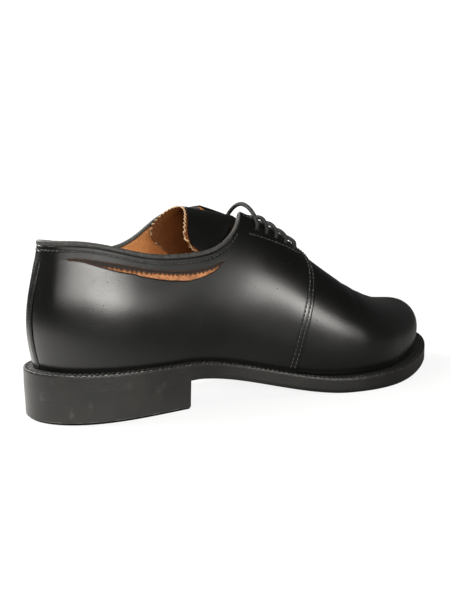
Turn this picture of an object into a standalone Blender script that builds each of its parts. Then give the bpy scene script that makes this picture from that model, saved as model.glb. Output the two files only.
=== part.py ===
"""Derby shoe for a right foot, standing empty on its sole.

A welted leather sole with a heel block carries a hollow upper that is open at the collar, at the
throat and underneath. A tongue, an insole, a back strip and straight bars of lace go with it.

Sizes are in millimetres: y runs along the shoe from the back of the heel to the toe, x towards the
outer side of the foot, and z up from the floor. The meshes are written in metres.
"""

from collections import namedtuple

import bmesh
import bpy
import numpy as np

METRES = 0.001
OUTER, INNER = 1, -1

# Sole
SOLE_LENGTH = 302.0
HEEL_BREAST = 84.0
HEEL_BLOCK = 18.5
HEEL_PITCH = 0.018
HEEL_UNDERCUT = 0.6
HEEL_CHAMFER = 1.2
OUTSOLE = 6.0
WELT = 3.2
TREAD_START, TREAD_END = 186.0, 216.0
TOE_SPRING = 9.0
INSOLE_RISE = 1.8
GAP = 0.3

# Upper
WALL = 2.4
LEAN_HEIGHT = 52.0
HEEL_FAN, TOE_FAN = 60.0, 225.0
FAN_SLOPE = 0.2
WALL_END, DOME_START = 68.0, 128.0
THROAT_END = 174.0
THROAT_ROUND = 9.0
FACING_BACK, FACING_TOP, FACING_FOOT = 112.0, 126.0, 165.0
GAP_TOP, GAP_FOOT = 14.0, 8.5

# Slash under the collar band, measured down from the topline
SLASH_DEPTH = 1.2
SLASH_CLEAR = 1.5

# Tongue, back strip and lace
TONGUE = 2.0
TONGUE_BEND = 130.0
TONGUE_CLEAR = 0.9
TONGUE_SINK = 8.0
TONGUE_HEIGHT, TONGUE_DROP = 113.9, 21.2
TONGUE_BACK, TONGUE_HANG, TONGUE_SKEW = 8.5, 7.5, 3.5
TONGUE_ARC = np.radians(80)
STRIP_HALF = 3.4
STRIP_THICK = 1.0
STRIP_TOP = 11.0
LACE = 2.6
EYELET_ROWS = 5
EYELET_FIRST, EYELET_PITCH = 137.5, 7.3
EYELET_SETBACK = 8.5
LACE_CROWN = 1.2
LOOP_CROWN = 6.5

# Outline of the sole: middle and half width of each section along the shoe
SoleRow = namedtuple("SoleRow", "along centre half_width")
SOLE = [
    SoleRow(0, 0.0, 0.0),
    SoleRow(9, 0.0, 21.0),
    SoleRow(22, 0.0, 29.6),
    SoleRow(48, 0.0, 34.4),
    SoleRow(85, 0.7, 31.8),
    SoleRow(120, 2.2, 30.6),
    SoleRow(155, 4.2, 39.0),
    SoleRow(195, 5.0, 51.6),
    SoleRow(220, 3.2, 52.8),
    SoleRow(250, -0.8, 46.4),
    SoleRow(278, -5.4, 33.6),
    SoleRow(294, -7.8, 19.6),
    SoleRow(SOLE_LENGTH, -8.8, 0.0),
]

# Sections of the last: how far its widest line lies inside the sole's edge, how far the foot of the
# wall tucks in under that line, how far a straight wall leans in above it, the height of that line
# over the welt, the height of the ridge over the floor, and the roundness of the dome
LastRow = namedtuple("LastRow", "along inset tuck lean bulge ridge roundness")
LAST = [
    LastRow(0, 2.4, 3.2, 7.6, 24, 158, 1.8),
    LastRow(30, 2.5, 3.2, 6.4, 24, 160, 1.8),
    LastRow(80, 2.9, 3.0, 4.4, 24, 158, 1.9),
    LastRow(105, 3.2, 2.8, 4.0, 24, 141, 1.9),
    LastRow(128, 3.5, 2.6, 4.0, 23, 121, 2.0),
    LastRow(150, 3.9, 2.4, 4.0, 21, 105, 2.1),
    LastRow(174, 4.3, 2.3, 4.0, 18, 88, 2.1),
    LastRow(200, 4.6, 2.2, 4.0, 15, 70, 2.2),
    LastRow(230, 4.8, 2.0, 4.0, 13, 56, 2.2),
    LastRow(262, 4.8, 2.0, 4.0, 12, 49, 2.2),
    LastRow(SOLE_LENGTH, 4.8, 2.0, 4.0, 11, 47, 2.2),
]

# Height of the topline over the floor on the outer and inner side, carried on past the facing
ToplineRow = namedtuple("ToplineRow", "along outer inner")
TOPLINE = [
    ToplineRow(0, 97.0, 97.0),
    ToplineRow(10, 97.0, 96.2),
    ToplineRow(20, 96.8, 95.2),
    ToplineRow(40, 93.8, 92.5),
    ToplineRow(60, 89.4, 89.4),
    ToplineRow(80, 88.0, 97.0),
    ToplineRow(95, 88.8, 108.2),
    ToplineRow(108, 92.0, 112.0),
    ToplineRow(118, 98.6, 114.0),
    ToplineRow(126, 108.0, 116.8),
    ToplineRow(134, 122.0, 122.0),
]
TOPLINE_LAST = TOPLINE[-1].along

# Half width of the tongue, from its free end to its foot under the vamp
TongueRow = namedtuple("TongueRow", "along half_width")
TONGUE_ROWS = [
    TongueRow(84, 21.3),
    TongueRow(95, 20.9),
    TongueRow(105, 20.7),
    TongueRow(118, 19.6),
    TongueRow(130, 18.8),
    TongueRow(160, 20.5),
    TongueRow(186, 21.0),
]
TONGUE_TOP, TONGUE_FOOT = TONGUE_ROWS[0].along + TONGUE_BACK, TONGUE_ROWS[-1].along

# Slash below the collar: depth of its upper and lower lip under the topline
SlashRow = namedtuple("SlashRow", "along upper lower")
SLASH = [
    SlashRow(11, 9.2, 9.5),
    SlashRow(21, 9.0, 9.9),
    SlashRow(30, 9.1, 11.4),
    SlashRow(46, 8.6, 12.3),
    SlashRow(61, 8.4, 12.7),
    SlashRow(74, 9.0, 13.9),
    SlashRow(84, 9.7, 14.5),
    SlashRow(98, 10.0, 13.8),
    SlashRow(112, 10.0, 10.6),
]


def spline(knots, values):
    """Natural cubic spline through the points, as a function that takes an array."""
    knots, values = np.array(knots, float), np.array(values, float)
    step = np.diff(knots)
    system = np.eye(len(knots))
    pull = np.zeros(len(knots))
    for i in range(1, len(knots) - 1):
        system[i, i - 1 : i + 2] = step[i - 1], 2 * (step[i - 1] + step[i]), step[i]
        rise = np.diff(values[i - 1 : i + 2]) / step[i - 1 : i + 1]
        pull[i] = 6 * (rise[1] - rise[0])
    bend = np.linalg.solve(system, pull)

    def at(x):
        x = np.clip(x, knots[0], knots[-1])
        i = np.clip(np.searchsorted(knots, x) - 1, 0, len(step) - 1)
        a = (knots[i + 1] - x) / step[i]
        b = 1 - a
        bow = (a**3 - a) * bend[i] + (b**3 - b) * bend[i + 1]
        return a * values[i] + b * values[i + 1] + bow * step[i] ** 2 / 6

    return at


def column(rows, name, place=lambda along: along):
    """One column of a table as a spline along the shoe."""
    return spline([place(r.along) for r in rows], [getattr(r, name) for r in rows])


def turn(along):
    """Angle from the heel, 0, to the toe, pi, that rounds off both ends of the sole's outline."""
    return np.arccos(np.clip(1 - 2 * np.asarray(along, float) / SOLE_LENGTH, -1, 1))


SOLE_CENTRE = column(SOLE, "centre", turn)
SOLE_HALF = column(SOLE, "half_width", turn)
LAST_AT = {name: column(LAST, name) for name in LastRow._fields[1:]}
TOPLINE_AT = {OUTER: column(TOPLINE, "outer"), INNER: column(TOPLINE, "inner")}
SLASH_UPPER, SLASH_LOWER = column(SLASH, "upper"), column(SLASH, "lower")
TONGUE_HALF = column(TONGUE_ROWS, "half_width")


def tread(along):
    """Height of the outsole's underside: heel seat, waist, flat tread and toe spring."""
    along = np.asarray(along, float)
    seat = HEEL_BLOCK - HEEL_PITCH * along
    span = TREAD_START - HEEL_BREAST
    t = np.clip((along - HEEL_BREAST) / span, 0, 1)
    breast = HEEL_BLOCK - HEEL_PITCH * HEEL_BREAST
    waist = breast * (1 + 2 * t) * (1 - t) ** 2 - HEEL_PITCH * span * t * (1 - t) ** 2
    spring = TOE_SPRING * np.clip((along - TREAD_END) / (SOLE_LENGTH - TREAD_END), 0, 1) ** 2
    return np.where(along < HEEL_BREAST, seat, waist) + spring


def welt_foot(along):
    return tread(along) + OUTSOLE + GAP


def upper_foot(along):
    return welt_foot(along) + WELT + GAP


def spine(along):
    """Place on the middle line that a section is drawn from, so that the ends fan out."""
    along = np.asarray(along, float)
    back = np.clip(HEEL_FAN - along, 0, None) ** 2 / (2 * HEEL_FAN)
    front = np.clip(along - TOE_FAN, 0, None) ** 2 / (2 * (SOLE_LENGTH - TOE_FAN))
    return along + (1 - FAN_SLOPE) * (back - front)


def wall_share(along):
    """How much of a section is straight wall, at the heel, instead of dome, at the instep."""
    t = np.clip((along - WALL_END) / (DOME_START - WALL_END), 0, 1)
    return 1 - t * t * (3 - 2 * t)


def half_gap(along):
    """Half the gap between the two facings, rounded off at the foot of the throat."""
    t = (along - FACING_TOP) / (FACING_FOOT - FACING_TOP)
    straight = GAP_TOP + (GAP_FOOT - GAP_TOP) * t
    closing = np.clip((along - THROAT_END + THROAT_ROUND) / THROAT_ROUND, 0, 1)
    return straight * np.sqrt(1 - closing**2)


def frame_of(side, along):
    """Middle point, outward direction and reach of the sections at these places."""
    along = np.asarray(along, float)
    middle_y = spine(along)
    middle_x = SOLE_CENTRE(turn(middle_y))
    out_x = SOLE_CENTRE(turn(along)) + side * SOLE_HALF(turn(along)) - middle_x
    out_y = along - middle_y
    reach = np.hypot(out_x, out_y)
    return middle_x, middle_y, out_x / reach, out_y / reach, reach


def inset_point(side, along, inset, height):
    """Points that lie inside the sole's edge by the inset, at this height."""
    middle_x, middle_y, out_x, out_y, reach = frame_of(side, along)
    reach = reach - inset
    return np.stack([middle_x + out_x * reach, middle_y + out_y * reach, height + 0 * reach], -1)


def opening_turn(side, along, reach, out_x, bulge, rise, roundness):
    """Angle up the dome at which each section stops: at the topline, the facing or the ridge."""
    top = TOPLINE_AT[side](along) - upper_foot(along)
    share = np.clip((top - bulge) / rise, 0, 1)
    collar = np.arcsin(share ** (roundness / 2))
    collar = np.where(along >= TOPLINE_LAST, np.pi / 2, collar)
    gap = np.clip(half_gap(along) / np.maximum(np.abs(out_x * reach), 1), 0, 1)
    facing = np.arccos(gap ** (roundness / 2))
    open_throat = (along > FACING_BACK) & (along < THROAT_END)
    return np.where(open_throat, np.minimum(collar, facing), collar)


def rib_lines(side, along, low=24, high=72):
    """Close-set points up each section of the last, from its foot to the edge of the opening.

    The wall follows a sine squared about its widest line. The dome is a superellipse quarter.
    """
    along = np.atleast_1d(np.asarray(along, float))[:, None]
    middle_x, middle_y, out_x, out_y, reach = frame_of(side, along)
    row = {name: at(along) for name, at in LAST_AT.items()}
    reach = reach - row["inset"]
    foot = upper_foot(along)
    rise = row["ridge"] - foot - row["bulge"]
    end = opening_turn(side, along, reach, out_x, row["bulge"], rise, row["roundness"])
    below = np.linspace(0, 1, low)[None, :-1]
    angle = end * np.linspace(0, 1, high)[None, :]
    power = 2 / row["roundness"]
    height = np.hstack([row["bulge"] * below, row["bulge"] + rise * np.sin(angle) ** power])
    dome = np.hstack(
        [reach - row["tuck"] * (1 - below) ** 2, reach * np.clip(np.cos(angle), 0, 1) ** power]
    )
    swing = np.clip(height - row["bulge"], -LEAN_HEIGHT, LEAN_HEIGHT)
    wall = reach - row["lean"] * np.sin(np.pi * swing / (2 * LEAN_HEIGHT)) ** 2
    straight = wall_share(along)
    out = straight * wall + (1 - straight) * dome
    return np.stack([middle_x + out_x * out, middle_y + out_y * out, foot + height], -1)


def along_rib(line, shares):
    """Points at these shares of one section's length."""
    step = np.linalg.norm(np.diff(line, axis=0), axis=1)
    length = np.concatenate([[0], np.cumsum(step)])
    return np.stack([np.interp(np.asarray(shares) * length[-1], length, c) for c in line.T], -1)


def rib_length(line):
    return np.linalg.norm(np.diff(line, axis=0), axis=1).sum()


def below_edge(side, along, depth):
    """Point of the upper this far down its section from the edge of the opening."""
    line = rib_lines(side, along)[0]
    return along_rib(line, [1 - depth / rib_length(line)])[0]


def outward(side, along, depth, reach=0.5):
    """Direction straight out of the upper at that point."""
    forward = below_edge(side, along + reach, depth) - below_edge(side, along - reach, depth)
    upward = below_edge(side, along, depth - reach) - below_edge(side, along, depth + reach)
    normal = side * np.cross(forward, upward)
    return normal / np.linalg.norm(normal)


def proud_point(side, along, depth, height):
    return below_edge(side, along, depth) + height * outward(side, along, depth)


def box_centre():
    """Middle of the sole's outline, which becomes the origin."""
    along = np.linspace(0, SOLE_LENGTH, 400)
    outer = SOLE_CENTRE(turn(along)) + SOLE_HALF(turn(along))
    inner = SOLE_CENTRE(turn(along)) - SOLE_HALF(turn(along))
    return (outer.max() + inner.min()) / 2, SOLE_LENGTH / 2


def even_stations(count, start=0.0, end=SOLE_LENGTH):
    """Places along the shoe, closer together at the round ends."""
    angles = np.linspace(turn(start), turn(end), count)
    return SOLE_LENGTH * (1 - np.cos(angles)) / 2


def finish(name, mesh, colour, roughness, smooth=True):
    """Makes the object of a mesh, with its own material, under the shoe's empty."""
    data = bpy.data.meshes.new(name)
    mesh.to_mesh(data)
    mesh.free()
    if smooth:
        data.shade_smooth()
        data.set_sharp_from_angle(angle=np.radians(40))
    obj = bpy.data.objects.new(name, data)
    return dress(obj, colour, roughness)


def dress(obj, colour, roughness):
    material = bpy.data.materials.new(obj.name)
    material.use_nodes = True
    shader = material.node_tree.nodes["Principled BSDF"]
    shader.inputs["Base Color"].default_value = (*colour, 1)
    shader.inputs["Roughness"].default_value = roughness
    shader.inputs["Metallic"].default_value = 0
    obj.data.materials.append(material)
    bpy.context.scene.collection.objects.link(obj)
    obj.parent = bpy.data.objects["shoe"]
    return obj


def add_loops(mesh, loops):
    """One ring of vertices for each loop of points."""
    return [[mesh.verts.new(p * METRES) for p in loop] for loop in loops]


def skin(mesh, rings, closed):
    """Quads between each ring and the next one."""
    for ring, above in zip(rings, rings[1:]):
        count = len(ring) if closed else len(ring) - 1
        for i in range(count):
            k = (i + 1) % len(ring)
            mesh.faces.new((ring[i], ring[k], above[k], above[i]))


def loop_round(points_of, stations):
    """Closed loop of points: up the outer side from heel to toe and back down the inner side."""
    return np.concatenate([points_of(OUTER, stations), points_of(INNER, stations[-2:0:-1])])


def cap_across(mesh, ring, count, downward):
    """Closes a loop of the sole's outline with quads between its outer and inner points."""
    outer = ring[:count]
    inner = [ring[0]] + ring[count:][::-1] + [ring[count - 1]]
    for i in range(count - 1):
        face = [outer[i], outer[i + 1], inner[i + 1], inner[i]]
        corners = list(dict.fromkeys(face))
        mesh.faces.new(corners[::-1] if downward else corners)


def slab(name, loops, count, colour, roughness):
    """Solid with this stack of outline loops as its wall, closed below and above."""
    mesh = bmesh.new()
    rings = add_loops(mesh, loops)
    skin(mesh, rings, closed=True)
    cap_across(mesh, rings[0], count, downward=True)
    cap_across(mesh, rings[-1], count, downward=False)
    return finish(name, mesh, colour, roughness)


def build_outsole():
    stations = np.unique(np.concatenate([even_stations(40), [HEEL_BREAST, TREAD_START, TREAD_END]]))

    def edge(lift):
        return loop_round(lambda s, a: inset_point(s, a, 0, tread(a) + lift), stations)

    slab("outsole", [edge(0), edge(OUTSOLE)], len(stations), (0.012, 0.012, 0.012), 0.5)


def build_heel():
    """Block under the heel seat: chamfered at the floor, a little undercut, cut off at the breast."""
    stations = even_stations(22, end=HEEL_BREAST)
    levels = [
        (0.0, HEEL_UNDERCUT + HEEL_CHAMFER),
        (HEEL_CHAMFER, HEEL_UNDERCUT),
        (None, 0.0),
    ]
    mesh = bmesh.new()
    loops = []
    for level, inset in levels:
        height = tread(stations) - GAP if level is None else np.full(len(stations), level)
        outer = inset_point(OUTER, stations, inset, height)
        inner = inset_point(INNER, stations[:0:-1], inset, height[:0:-1])
        loops.append(np.concatenate([outer, inner]))
    rings = add_loops(mesh, loops)
    skin(mesh, rings, closed=True)
    count = len(stations)
    for ring, downward in ((rings[0], True), (rings[-1], False)):
        inner = [ring[0]] + ring[count:][::-1]
        for i in range(count - 1):
            face = list(dict.fromkeys([ring[i], ring[i + 1], inner[i + 1], inner[i]]))
            mesh.faces.new(face[::-1] if downward else face)
    finish("heel", mesh, (0.014, 0.013, 0.013), 0.55)


def build_welt():
    """Strip round the whole edge of the sole, which the foot of the upper stands on."""
    stations = even_stations(44)

    def edge(inset, lift):
        return loop_round(lambda s, a: inset_point(s, a, inset(a), welt_foot(a) + lift), stations)

    def outside(along):
        return 0 * along

    def inside(along):
        return LAST_AT["inset"](along) + LAST_AT["tuck"](along) + WALL

    mesh = bmesh.new()
    rings = add_loops(
        mesh, [edge(outside, 0), edge(outside, WELT), edge(inside, WELT), edge(inside, 0)]
    )
    skin(mesh, rings + rings[:1], closed=True)
    finish("welt", mesh, (0.012, 0.012, 0.012), 0.5)


def build_insole():
    stations = even_stations(36)

    def edge(height):
        def point(side, along):
            inset = LAST_AT["inset"](along) + LAST_AT["tuck"](along) + WALL + 2 * GAP
            return inset_point(side, along, inset, height(along))

        return loop_round(point, stations)

    loops = [edge(welt_foot), edge(lambda a: welt_foot(a) + WELT + INSOLE_RISE)]
    slab("insole", loops, len(stations), (0.42, 0.18, 0.06), 0.6)


def upper_stations():
    """Even places round the last, with more of them at the facing and the foot of the throat."""
    round_foot = THROAT_END - THROAT_ROUND * (1 - np.sin(np.linspace(0, np.pi / 2, 5)))
    facing = np.linspace(TOPLINE[-4].along, TOPLINE_LAST, 9)
    even = even_stations(36)
    apart = [np.min(np.abs(np.concatenate([round_foot, facing]) - e)) > 2.5 for e in even]
    return np.sort(np.concatenate([even[apart], round_foot, facing]))


def build_slash_cutter(side):
    """Thin sliver of the upper's own surface, from inside the wall to clear of it."""
    stations = np.linspace(SLASH[0].along, SLASH[-1].along, 22)
    mesh = bmesh.new()
    rings = []
    for along in stations:
        upper, lower = SLASH_UPPER(along), SLASH_LOWER(along)
        corners = [
            proud_point(side, along, upper, SLASH_CLEAR),
            proud_point(side, along, lower, SLASH_CLEAR),
            proud_point(side, along, lower, -SLASH_DEPTH),
            proud_point(side, along, upper, -SLASH_DEPTH),
        ]
        rings.append([mesh.verts.new(p * METRES) for p in corners])
    skin(mesh, rings, closed=True)
    mesh.faces.new(rings[0][::-1])
    mesh.faces.new(rings[-1])
    bmesh.ops.recalc_face_normals(mesh, faces=mesh.faces)
    name = "slash_cutter_outer" if side == OUTER else "slash_cutter_inner"
    data = bpy.data.meshes.new(name)
    mesh.to_mesh(data)
    mesh.free()
    cutter = bpy.data.objects.new(name, data)
    bpy.context.scene.collection.objects.link(cutter)
    cutter.parent = bpy.data.objects["shoe"]
    cutter.hide_render = True
    cutter.display_type = "WIRE"
    return cutter


def build_upper(rows=15):
    """Outer face of vamp and quarters, given its wall inwards, with the slashes cut part way in."""
    stations = upper_stations()
    shares = np.linspace(0, 1, rows)
    outer = [along_rib(line, shares) for line in rib_lines(OUTER, stations)]
    inner = [along_rib(line, shares) for line in rib_lines(INNER, stations[-2:0:-1])]
    mesh = bmesh.new()
    rings = add_loops(mesh, np.array(outer + inner).transpose(1, 0, 2))
    skin(mesh, rings, closed=True)
    bmesh.ops.remove_doubles(mesh, verts=mesh.verts, dist=0.002 * METRES)
    upper = finish("upper", mesh, (0.011, 0.011, 0.011), 0.3)
    wall = upper.modifiers.new("wall", "SOLIDIFY")
    wall.thickness = WALL * METRES
    wall.offset = -1
    wall.use_even_offset = True
    for side in (OUTER, INNER):
        cut = upper.modifiers.new("slash", "BOOLEAN")
        cut.operation = "DIFFERENCE"
        cut.solver = "MANIFOLD"
        cut.object = build_slash_cutter(side)


def dome_height(along, across):
    """Height of the last's dome over a place given along the shoe and across from its middle."""
    side = OUTER if across >= 0 else INNER
    _, _, out_x, _, reach = frame_of(side, along)
    row = {name: at(along) for name, at in LAST_AT.items()}
    foot = upper_foot(along)
    rise = row["ridge"] - foot - row["bulge"]
    k = np.clip(abs(across) / ((reach - row["inset"]) * abs(out_x)), 0, 1)
    return foot + row["bulge"] + rise * (1 - k ** row["roundness"]) ** (1 / row["roundness"])


def under_facing(along, across):
    """Height of the tongue where it follows the inside of the last, sunk below the open throat."""
    step = 0.5
    slope_x = dome_height(along, across + step) - dome_height(along, across - step)
    slope_y = dome_height(along + step, across) - dome_height(along - step, across)
    wall = WALL * np.sqrt(1 + slope_x**2 + slope_y**2)
    sink = TONGUE_SINK * np.clip((THROAT_END - along) / (THROAT_END - TONGUE_BEND), 0, 1)
    return dome_height(along, across) - wall - TONGUE_CLEAR - sink


def tongue_point(row, share):
    """Outer face of the tongue: under the facings it follows the last, behind them it arches up.

    The arch is part of an ellipse that leans to the outer side. Its corners are swept back and its
    sides hang down.
    """
    free = np.clip((TONGUE_BEND - row) / (TONGUE_BEND - TONGUE_TOP), 0, 1)
    turned = np.sin(share * TONGUE_ARC) / np.sin(TONGUE_ARC)
    along = row - TONGUE_BACK * free**2 * turned**2
    across = turned * TONGUE_HALF(along)
    skew = TONGUE_SKEW * free * (1 - turned**2)
    arch = TONGUE_HEIGHT - TONGUE_DROP * (1 - np.cos(share * TONGUE_ARC))
    hang = 4 * TONGUE_HANG * free * (1 - free) * turned**2
    height = (1 - free) * under_facing(max(row, TONGUE_BEND), across) + free * arch - hang
    return np.array([SOLE_CENTRE(turn(along)) + across + skew, along, height])


def build_tongue(rows=17, across=17):
    mesh = bmesh.new()
    rings = []
    for row in np.linspace(TONGUE_TOP, TONGUE_FOOT, rows):
        points = [tongue_point(row, share) for share in np.linspace(-1, 1, across)]
        rings.append([mesh.verts.new(p * METRES) for p in points])
    skin(mesh, rings, closed=False)
    tongue = finish("tongue", mesh, (0.3, 0.12, 0.04), 0.6)
    leather = tongue.modifiers.new("leather", "SOLIDIFY")
    leather.thickness = TONGUE * METRES
    leather.offset = -1
    leather.use_even_offset = True


def build_back_strip(rows=15):
    """Narrow strip over the seam at the back of the heel, from the welt to the collar band."""
    wide = np.linspace(0, SOLE[1].along, 200)
    edge = np.interp(STRIP_HALF, SOLE_HALF(turn(wide)), wide)
    middle = rib_lines(OUTER, 0.0)[0]
    shares = np.linspace(0.02, 1 - STRIP_TOP / rib_length(middle), rows)
    lines = [rib_lines(INNER, edge)[0], middle, rib_lines(OUTER, edge)[0]]
    columns = [along_rib(line, shares) - [0, GAP, 0] for line in lines]
    mesh = bmesh.new()
    skin(mesh, add_loops(mesh, np.array(columns).transpose(1, 0, 2)), closed=False)
    strip = finish("back_strip", mesh, (0.011, 0.011, 0.011), 0.25)
    leather = strip.modifiers.new("leather", "SOLIDIFY")
    leather.thickness = STRIP_THICK * METRES
    leather.offset = 1


def lace_path(along, crown, points=15):
    """Line of one bar of lace, from eyelet to eyelet over the gap, risen by the crown in its middle."""
    lift = LACE / 2 + 1.5 * GAP
    depths = (EYELET_SETBACK, EYELET_SETBACK / 2, 0.5)
    outer = [proud_point(OUTER, along, d, lift) for d in depths]
    inner = [proud_point(INNER, along, d, lift) for d in depths]
    middle = (outer[-1] + inner[-1]) / 2 + [0, 0, crown]
    route = np.array(outer + [middle] + inner[::-1])
    length = np.concatenate([[0], np.cumsum(np.linalg.norm(np.diff(route, axis=0), axis=1))])
    even = np.linspace(0, length[-1], points)
    return np.stack([spline(length, c)(even) for c in route.T], -1)


def build_lace(name, along, crown):
    curve = bpy.data.curves.new(name, "CURVE")
    curve.dimensions = "3D"
    curve.bevel_depth = LACE / 2 * METRES
    curve.bevel_resolution = 2
    curve.use_fill_caps = True
    path = lace_path(along, crown)
    line = curve.splines.new("POLY")
    line.points.add(len(path) - 1)
    for point, place in zip(line.points, path):
        point.co = (*(place * METRES), 1)
    dress(bpy.data.objects.new(name, curve), (0.01, 0.01, 0.01), 0.5)


def main():
    for obj in list(bpy.data.objects):
        bpy.data.objects.remove(obj)
    shoe = bpy.data.objects.new("shoe", None)
    bpy.context.scene.collection.objects.link(shoe)
    middle_x, middle_y = box_centre()
    shoe.location = (-middle_x * METRES, -middle_y * METRES, 0)
    build_outsole()
    build_heel()
    build_welt()
    build_insole()
    build_upper()
    build_tongue()
    build_back_strip()
    build_lace("lace_loop", EYELET_FIRST, LOOP_CROWN)
    for row in range(1, EYELET_ROWS):
        build_lace(f"lace_bar_{row}", EYELET_FIRST + row * EYELET_PITCH, LACE_CROWN)


main()
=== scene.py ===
"""Derby shoe for a right foot: leather, stitching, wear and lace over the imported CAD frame.

Sizes are in millimetres in the shoe's own frame, as in the part: y runs along the shoe from the back
of the heel to the toe, x towards the outer side of the foot, z up from the floor. to_world() gives
metres about the middle of the sole's outline.
"""

from collections import namedtuple

import bmesh
import bpy
import numpy as np
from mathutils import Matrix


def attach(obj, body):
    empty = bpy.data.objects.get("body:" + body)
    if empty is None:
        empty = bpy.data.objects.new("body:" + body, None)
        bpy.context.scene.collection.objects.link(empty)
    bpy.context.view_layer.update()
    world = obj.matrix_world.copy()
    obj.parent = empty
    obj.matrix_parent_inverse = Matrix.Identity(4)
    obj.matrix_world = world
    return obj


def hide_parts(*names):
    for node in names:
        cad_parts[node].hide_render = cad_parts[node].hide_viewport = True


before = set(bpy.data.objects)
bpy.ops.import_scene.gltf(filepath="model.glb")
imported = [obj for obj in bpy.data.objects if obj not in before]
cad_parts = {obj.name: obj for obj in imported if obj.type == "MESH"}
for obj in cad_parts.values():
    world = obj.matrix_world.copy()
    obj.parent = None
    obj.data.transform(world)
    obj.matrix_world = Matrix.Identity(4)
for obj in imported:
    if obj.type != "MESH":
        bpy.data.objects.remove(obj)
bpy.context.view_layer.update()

# Metres in a millimetre, and the distance within which points are welded
METRES, WELD = 0.001, 0.003

OUTER, INNER = 1, -1
SIDES = (OUTER, INNER)

# Sole
SOLE_LENGTH = 302.0
HEEL_BREAST = 84.0
HEEL_BLOCK = 18.5
HEEL_PITCH = 0.018
HEEL_UNDERCUT = 0.6
HEEL_CHAMFER, HEEL_SHOULDER = 1.6, 3.2
OUTSOLE = 6.0
WELT = 3.2
TREAD_START, TREAD_END = 186.0, 216.0
TOE_SPRING = 9.0
INSOLE_RISE = 1.8
GAP = 0.3

# Upper
WALL = 2.4
LEAN_HEIGHT = 52.0
HEEL_FAN, TOE_FAN = 60.0, 225.0
FAN_SLOPE = 0.2
WALL_END, DOME_START = 68.0, 128.0
THROAT_END = 174.0
THROAT_ROUND = 9.0
FACING_BACK, FACING_TOP, FACING_FOOT = 112.0, 126.0, 165.0
GAP_TOP, GAP_FOOT = 14.0, 8.5

# Tongue, back strip and lace
TONGUE_BEND = 130.0
TONGUE_CLEAR = 0.9
TONGUE_SINK = 8.0
TONGUE_HEIGHT, TONGUE_DROP = 113.9, 21.2
TONGUE_BACK, TONGUE_HANG, TONGUE_SKEW = 8.5, 7.5, 3.5
TONGUE_ARC = np.radians(80)
TONGUE_EDGE = 2.4
STRIP_TOP = 11.6
LACE = 2.6
EYELET_ROWS = 5
EYELET_FIRST, EYELET_PITCH = 137.5, 7.3
EYELET_SETBACK = 8.5
EYELET_RADIUS = 1.8
LACE_CROWN = 1.2
LOOP_CROWN = 6.5
BRAID_STRANDS, BRAID_TURN = 4, 2.4

# Leather and seams of the upper
QUARTER_THICK = 1.8
VAMP_SINK, VAMP_THICK = 1.2, 0.8
LINING_SINK = 2.4
BINDING = 2.5
BAND_ROW = 4.9
FACING_ROW = 14.0
EDGE_ROW, EDGE_ROW_GAP = 2.0, 2.4
WELT_ROW = 2.2
TOOTH = 2.8

Stitch = namedtuple("Stitch", "pitch length thick")
UPPER_STITCH = Stitch(2.7, 2.2, 0.62)
LINING_STITCH = Stitch(2.7, 1.9, 0.4)
STRIP_STITCH = Stitch(1.7, 1.2, 0.24)
WELT_STITCH = Stitch(2.9, 2.5, 0.62)

SoleRow = namedtuple("SoleRow", "along centre half_width")
SOLE = [
    SoleRow(0, 0.0, 0.0),
    SoleRow(9, 0.0, 21.0),
    SoleRow(22, 0.0, 29.6),
    SoleRow(48, 0.0, 34.4),
    SoleRow(85, 0.7, 31.8),
    SoleRow(120, 2.2, 30.6),
    SoleRow(155, 4.2, 39.0),
    SoleRow(195, 5.0, 51.6),
    SoleRow(220, 3.2, 52.8),
    SoleRow(250, -0.8, 46.4),
    SoleRow(278, -5.4, 33.6),
    SoleRow(294, -7.8, 19.6),
    SoleRow(SOLE_LENGTH, -8.8, 0.0),
]

LastRow = namedtuple("LastRow", "along inset tuck lean bulge ridge roundness")
LAST = [
    LastRow(0, 2.4, 3.2, 7.6, 24, 158, 1.8),
    LastRow(30, 2.5, 3.2, 6.4, 24, 160, 1.8),
    LastRow(80, 2.9, 3.0, 4.4, 24, 158, 1.9),
    LastRow(105, 3.2, 2.8, 4.0, 24, 141, 1.9),
    LastRow(128, 3.5, 2.6, 4.0, 23, 121, 2.0),
    LastRow(150, 3.9, 2.4, 4.0, 21, 105, 2.1),
    LastRow(174, 4.3, 2.3, 4.0, 18, 88, 2.1),
    LastRow(200, 4.6, 2.2, 4.0, 15, 70, 2.2),
    LastRow(230, 4.8, 2.0, 4.0, 13, 56, 2.2),
    LastRow(262, 4.8, 2.0, 4.0, 12, 49, 2.2),
    LastRow(SOLE_LENGTH, 4.8, 2.0, 4.0, 11, 47, 2.2),
]

ToplineRow = namedtuple("ToplineRow", "along outer inner")
TOPLINE = [
    ToplineRow(0, 97.0, 97.0),
    ToplineRow(10, 97.0, 96.2),
    ToplineRow(20, 96.8, 95.2),
    ToplineRow(40, 93.8, 92.5),
    ToplineRow(60, 89.4, 89.4),
    ToplineRow(80, 88.0, 97.0),
    ToplineRow(95, 88.8, 108.2),
    ToplineRow(108, 92.0, 112.0),
    ToplineRow(118, 98.6, 114.0),
    ToplineRow(126, 108.0, 116.8),
    ToplineRow(134, 122.0, 122.0),
]
TOPLINE_LAST = TOPLINE[-1].along

TongueRow = namedtuple("TongueRow", "along half_width")
TONGUE_ROWS = [
    TongueRow(84, 21.3),
    TongueRow(95, 20.9),
    TongueRow(105, 20.7),
    TongueRow(118, 19.6),
    TongueRow(130, 18.8),
    TongueRow(160, 20.5),
    TongueRow(186, 21.0),
]
TONGUE_TOP, TONGUE_FOOT = TONGUE_ROWS[0].along + TONGUE_BACK, TONGUE_ROWS[-1].along

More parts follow.
